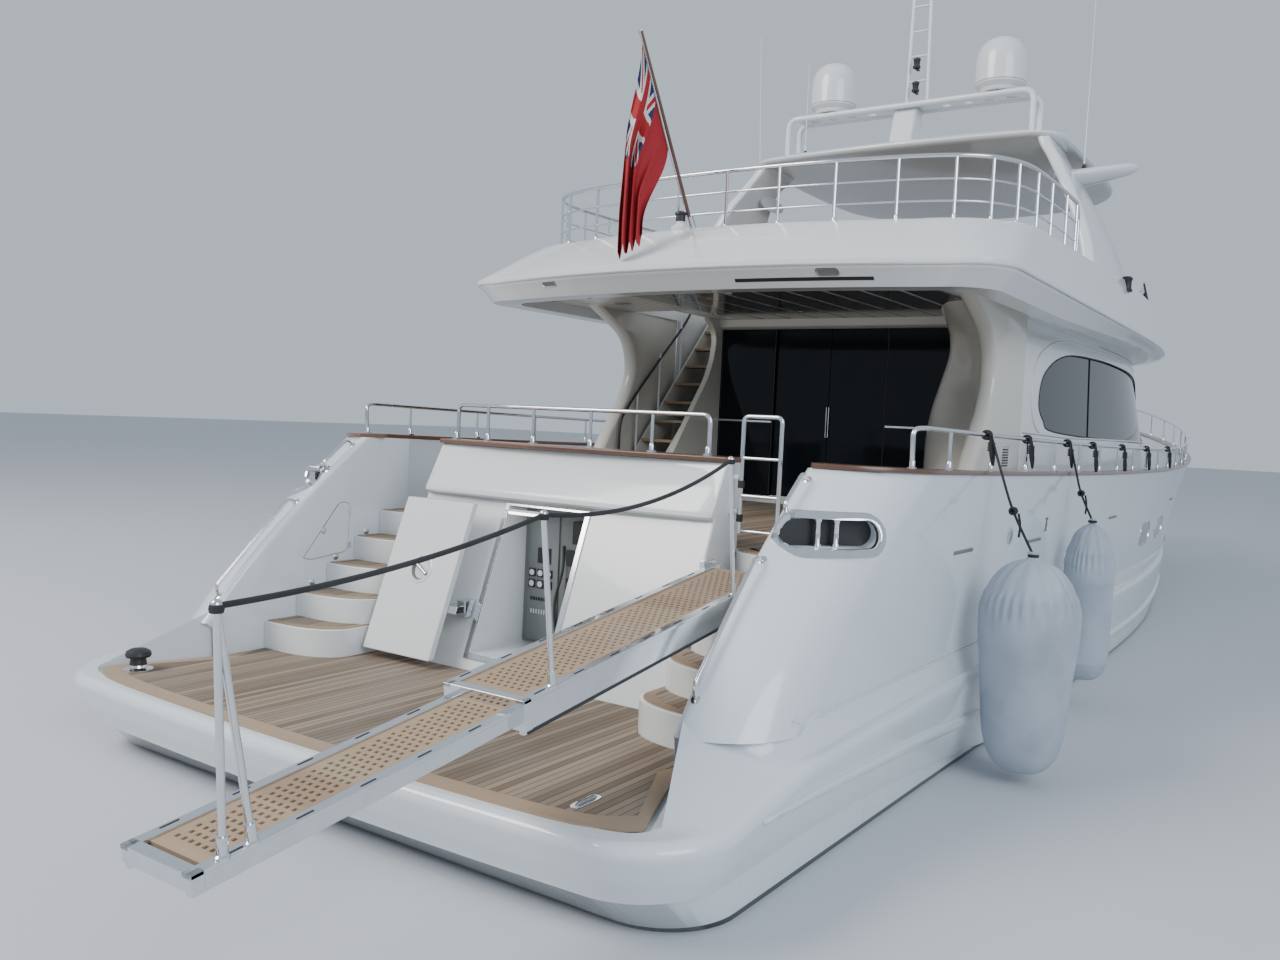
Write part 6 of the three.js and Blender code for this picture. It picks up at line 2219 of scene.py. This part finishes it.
settee = {
    "base": block(-2.3, 0.3, 1.42, 2.1, upperTop, 4.94),
    "wing": block(-2.3, -1.65, 0.5, 1.44, upperTop, 4.94),
    "back": block(-2.3, 0.3, 2.04, 2.1, 4.94, 5.46),
}
piece("settee.base", [*settee.values()], "mouldedWhite", "fly_settee", bevel=0.02, segments=3)
seats = [(-1.62 + 0.64 * k, -0.99 + 0.64 * k, 1.41, 1.93) for k in range(3)] + [
    (-2.29, -1.65, 1.42, 1.93), (-2.29, -1.65, 0.51, 0.95), (-2.29, -1.65, 0.97, 1.4),
]
for k, (x0, x1, y0, y1) in enumerate(seats):
    seat = piece(
        "settee.seat" + str(k), cushionShape(x0, x1, y0, y1, 4.945, 5.07), "cushionCloth", "fly_settee",
        smooth=60,
    )
for k in range(4):
    x0 = -2.28 + 0.645 * k
    back = piece(
        "settee.back" + str(k), cushionShape(x0, x0 + 0.62, 1.92, 2.05, 5.085, 5.43, 0.01, 0.03),
        "cushionCloth", "fly_settee", smooth=60,
    )
print("settee made")


# Frame nodes that keep their own form
for stem, look, bevel in (
    ("shaft_", "shaftSteel", 0), ("propeller_", "bronze", 0.004), ("rudder_", "bronze", 0.01),
):
    for side, name in hands:
        dress(stem + name, look, bevel)
dressing = {
    "windlass": ("stainless", 0.01), "hatch_coaming": ("mouldedWhite", 0.01), "anchor": ("galvanised", 0.006),
    "foredeck_hatch": ("darkGlass", 0.01), "helm_wheel": ("blackTrim", 0), "fly_windscreen": ("darkGlass", 0),
}
for node, (look, bevel) in dressing.items():
    dress(node, look, bevel)
print("frame nodes dressed")


# Trim of the helm: a rounded console with dash, screens, levers and foot recess, and the low screen's rail
consoleSide = smoothOutline([
    (0.84, upperTop), (0.83, 4.98), (0.72, 5.1), (0.705, 5.16), (1.05, 5.575), (1.3, 5.61), (1.5, 5.615),
    (1.78, 5.44), (1.89, 5.33), (1.9, 5), (1.9, upperTop),
])
consoleSide[0], consoleSide[-1] = (0.84, upperTop), (1.9, upperTop)
piece(
    "helm_console.body", slab(consoleSide, "xz", -0.85, 0.35), "mouldedWhite", "helm_console", bevel=0.035,
    segments=4,
)
dash = Matrix.Translation((0.885, -0.25, 5.372)) @ Matrix.Rotation(-radians(50.3), 4, "Y")
screens = [
    block(x0, x1, y0, y1, -0.01, 0.012)
    for x0, x1, y0, y1 in ((-0.02, 0.17, -0.5, -0.24), (-0.02, 0.17, 0.24, 0.5), (0.12, 0.2, -0.2, 0.2))
]
piece("helm_console.screens", placed(joined(*screens), dash), "darkGlass", "helm_console", bevel=0.006)
dials = [
    placed(solid([(0.034, 0), (0.034, 0.012), (0.028, 0.016)], (-0.09, y, 0.004), steps=18), dash)
    for y in (-0.46, -0.37, 0.37, 0.46)
]
piece("helm_console.dials", dials, "blackTrim", "helm_console")
levers = []
for y in (-0.62, -0.56):
    profile = [
        (0, 0), (0.02, 0), (0.016, 0.02), (0.009, 0.05), (0.009, 0.11), (0.018, 0.12), (0.018, 0.14),
        (0, 0.146),
    ]
    levers.append(turned(profile, (1.28, y, 5.6), (0.25, 0, 1), 14))
piece("helm_console.levers", levers, "stainless", "helm_console")

screenNode = frame["nodes"]["fly_windscreen"]
edge = {}
for vertex in screenNode.data.vertices:
    spot = screenNode.matrix_world @ vertex.co
    if spot.z > 5.4:
        edge.setdefault(round(atan2(spot.y, spot.x - 0.2), 1), []).append(spot)
edgeLine = [sum(spots, Vector()) / len(spots) + Vector((0, 0, 0.012)) for turn, spots in sorted(edge.items())]
piece("flyScreen.rail", tube(smoothLine(edgeLine, 3), 0.014, 10), "stainless", "upper_deck", smooth=60)
print("helm trimmed")


# Camera, light and floor
photoCamera = {"place": (-18, -5.68, 2.85), "turn": (86.8466, -2.6759, -55.9926), "lens": 29.87}
eye = bpy.data.cameras.new("photoCamera")
eye.lens = photoCamera["lens"]
eye.sensor_width = 36
eye.clip_end = 500
viewer = linked("photoCamera", eye)
viewer.location = photoCamera["place"]
viewer.rotation_euler = [radians(a) for a in photoCamera["turn"]]
bpy.context.scene.camera = viewer

floorMesh = bpy.data.meshes.new("floor")
reach = 150
floorMesh.from_pydata(
    [(-reach, -reach, 0), (reach, -reach, 0), (reach, reach, 0), (-reach, reach, 0)], [], [(0, 1, 2, 3)],
)
floorMaterial = bpy.data.materials.new("paleFloor")
floorMaterial.use_nodes = True
floorLook = floorMaterial.node_tree.nodes["Principled BSDF"].inputs
floorLook["Base Color"].default_value = (0.55, 0.57, 0.6, 1)
floorLook["Roughness"].default_value = 0.85
floorMesh.materials.append(floorMaterial)
linked("floor", floorMesh)

sky = bpy.data.worlds.new("studio")
sky.use_nodes = True
skyLook = sky.node_tree.nodes["Background"].inputs
skyLook["Color"].default_value = (0.74, 0.83, 0.95, 1)
skyLook["Strength"].default_value = 0.75
bpy.context.scene.world = sky


def softLight(name, place, aim, size, power, colour=(1, 1, 1)):
    lamp = bpy.data.lights.new(name, "AREA")
    lamp.shape = "DISK"
    lamp.size = size
    lamp.energy = power
    lamp.color = colour
    holder = linked(name, lamp)
    holder.location = place
    holder.rotation_euler = (Vector(aim) - Vector(place)).to_track_quat("-Z", "Y").to_euler()


softLight("keyLight", (-30, 14, 22), (-8, 0, 2), 18, 9000, (1, 0.95, 0.88))
softLight("fillLight", (-22, -26, 16), (-6, 0, 2), 20, 5000, (0.85, 0.92, 1))
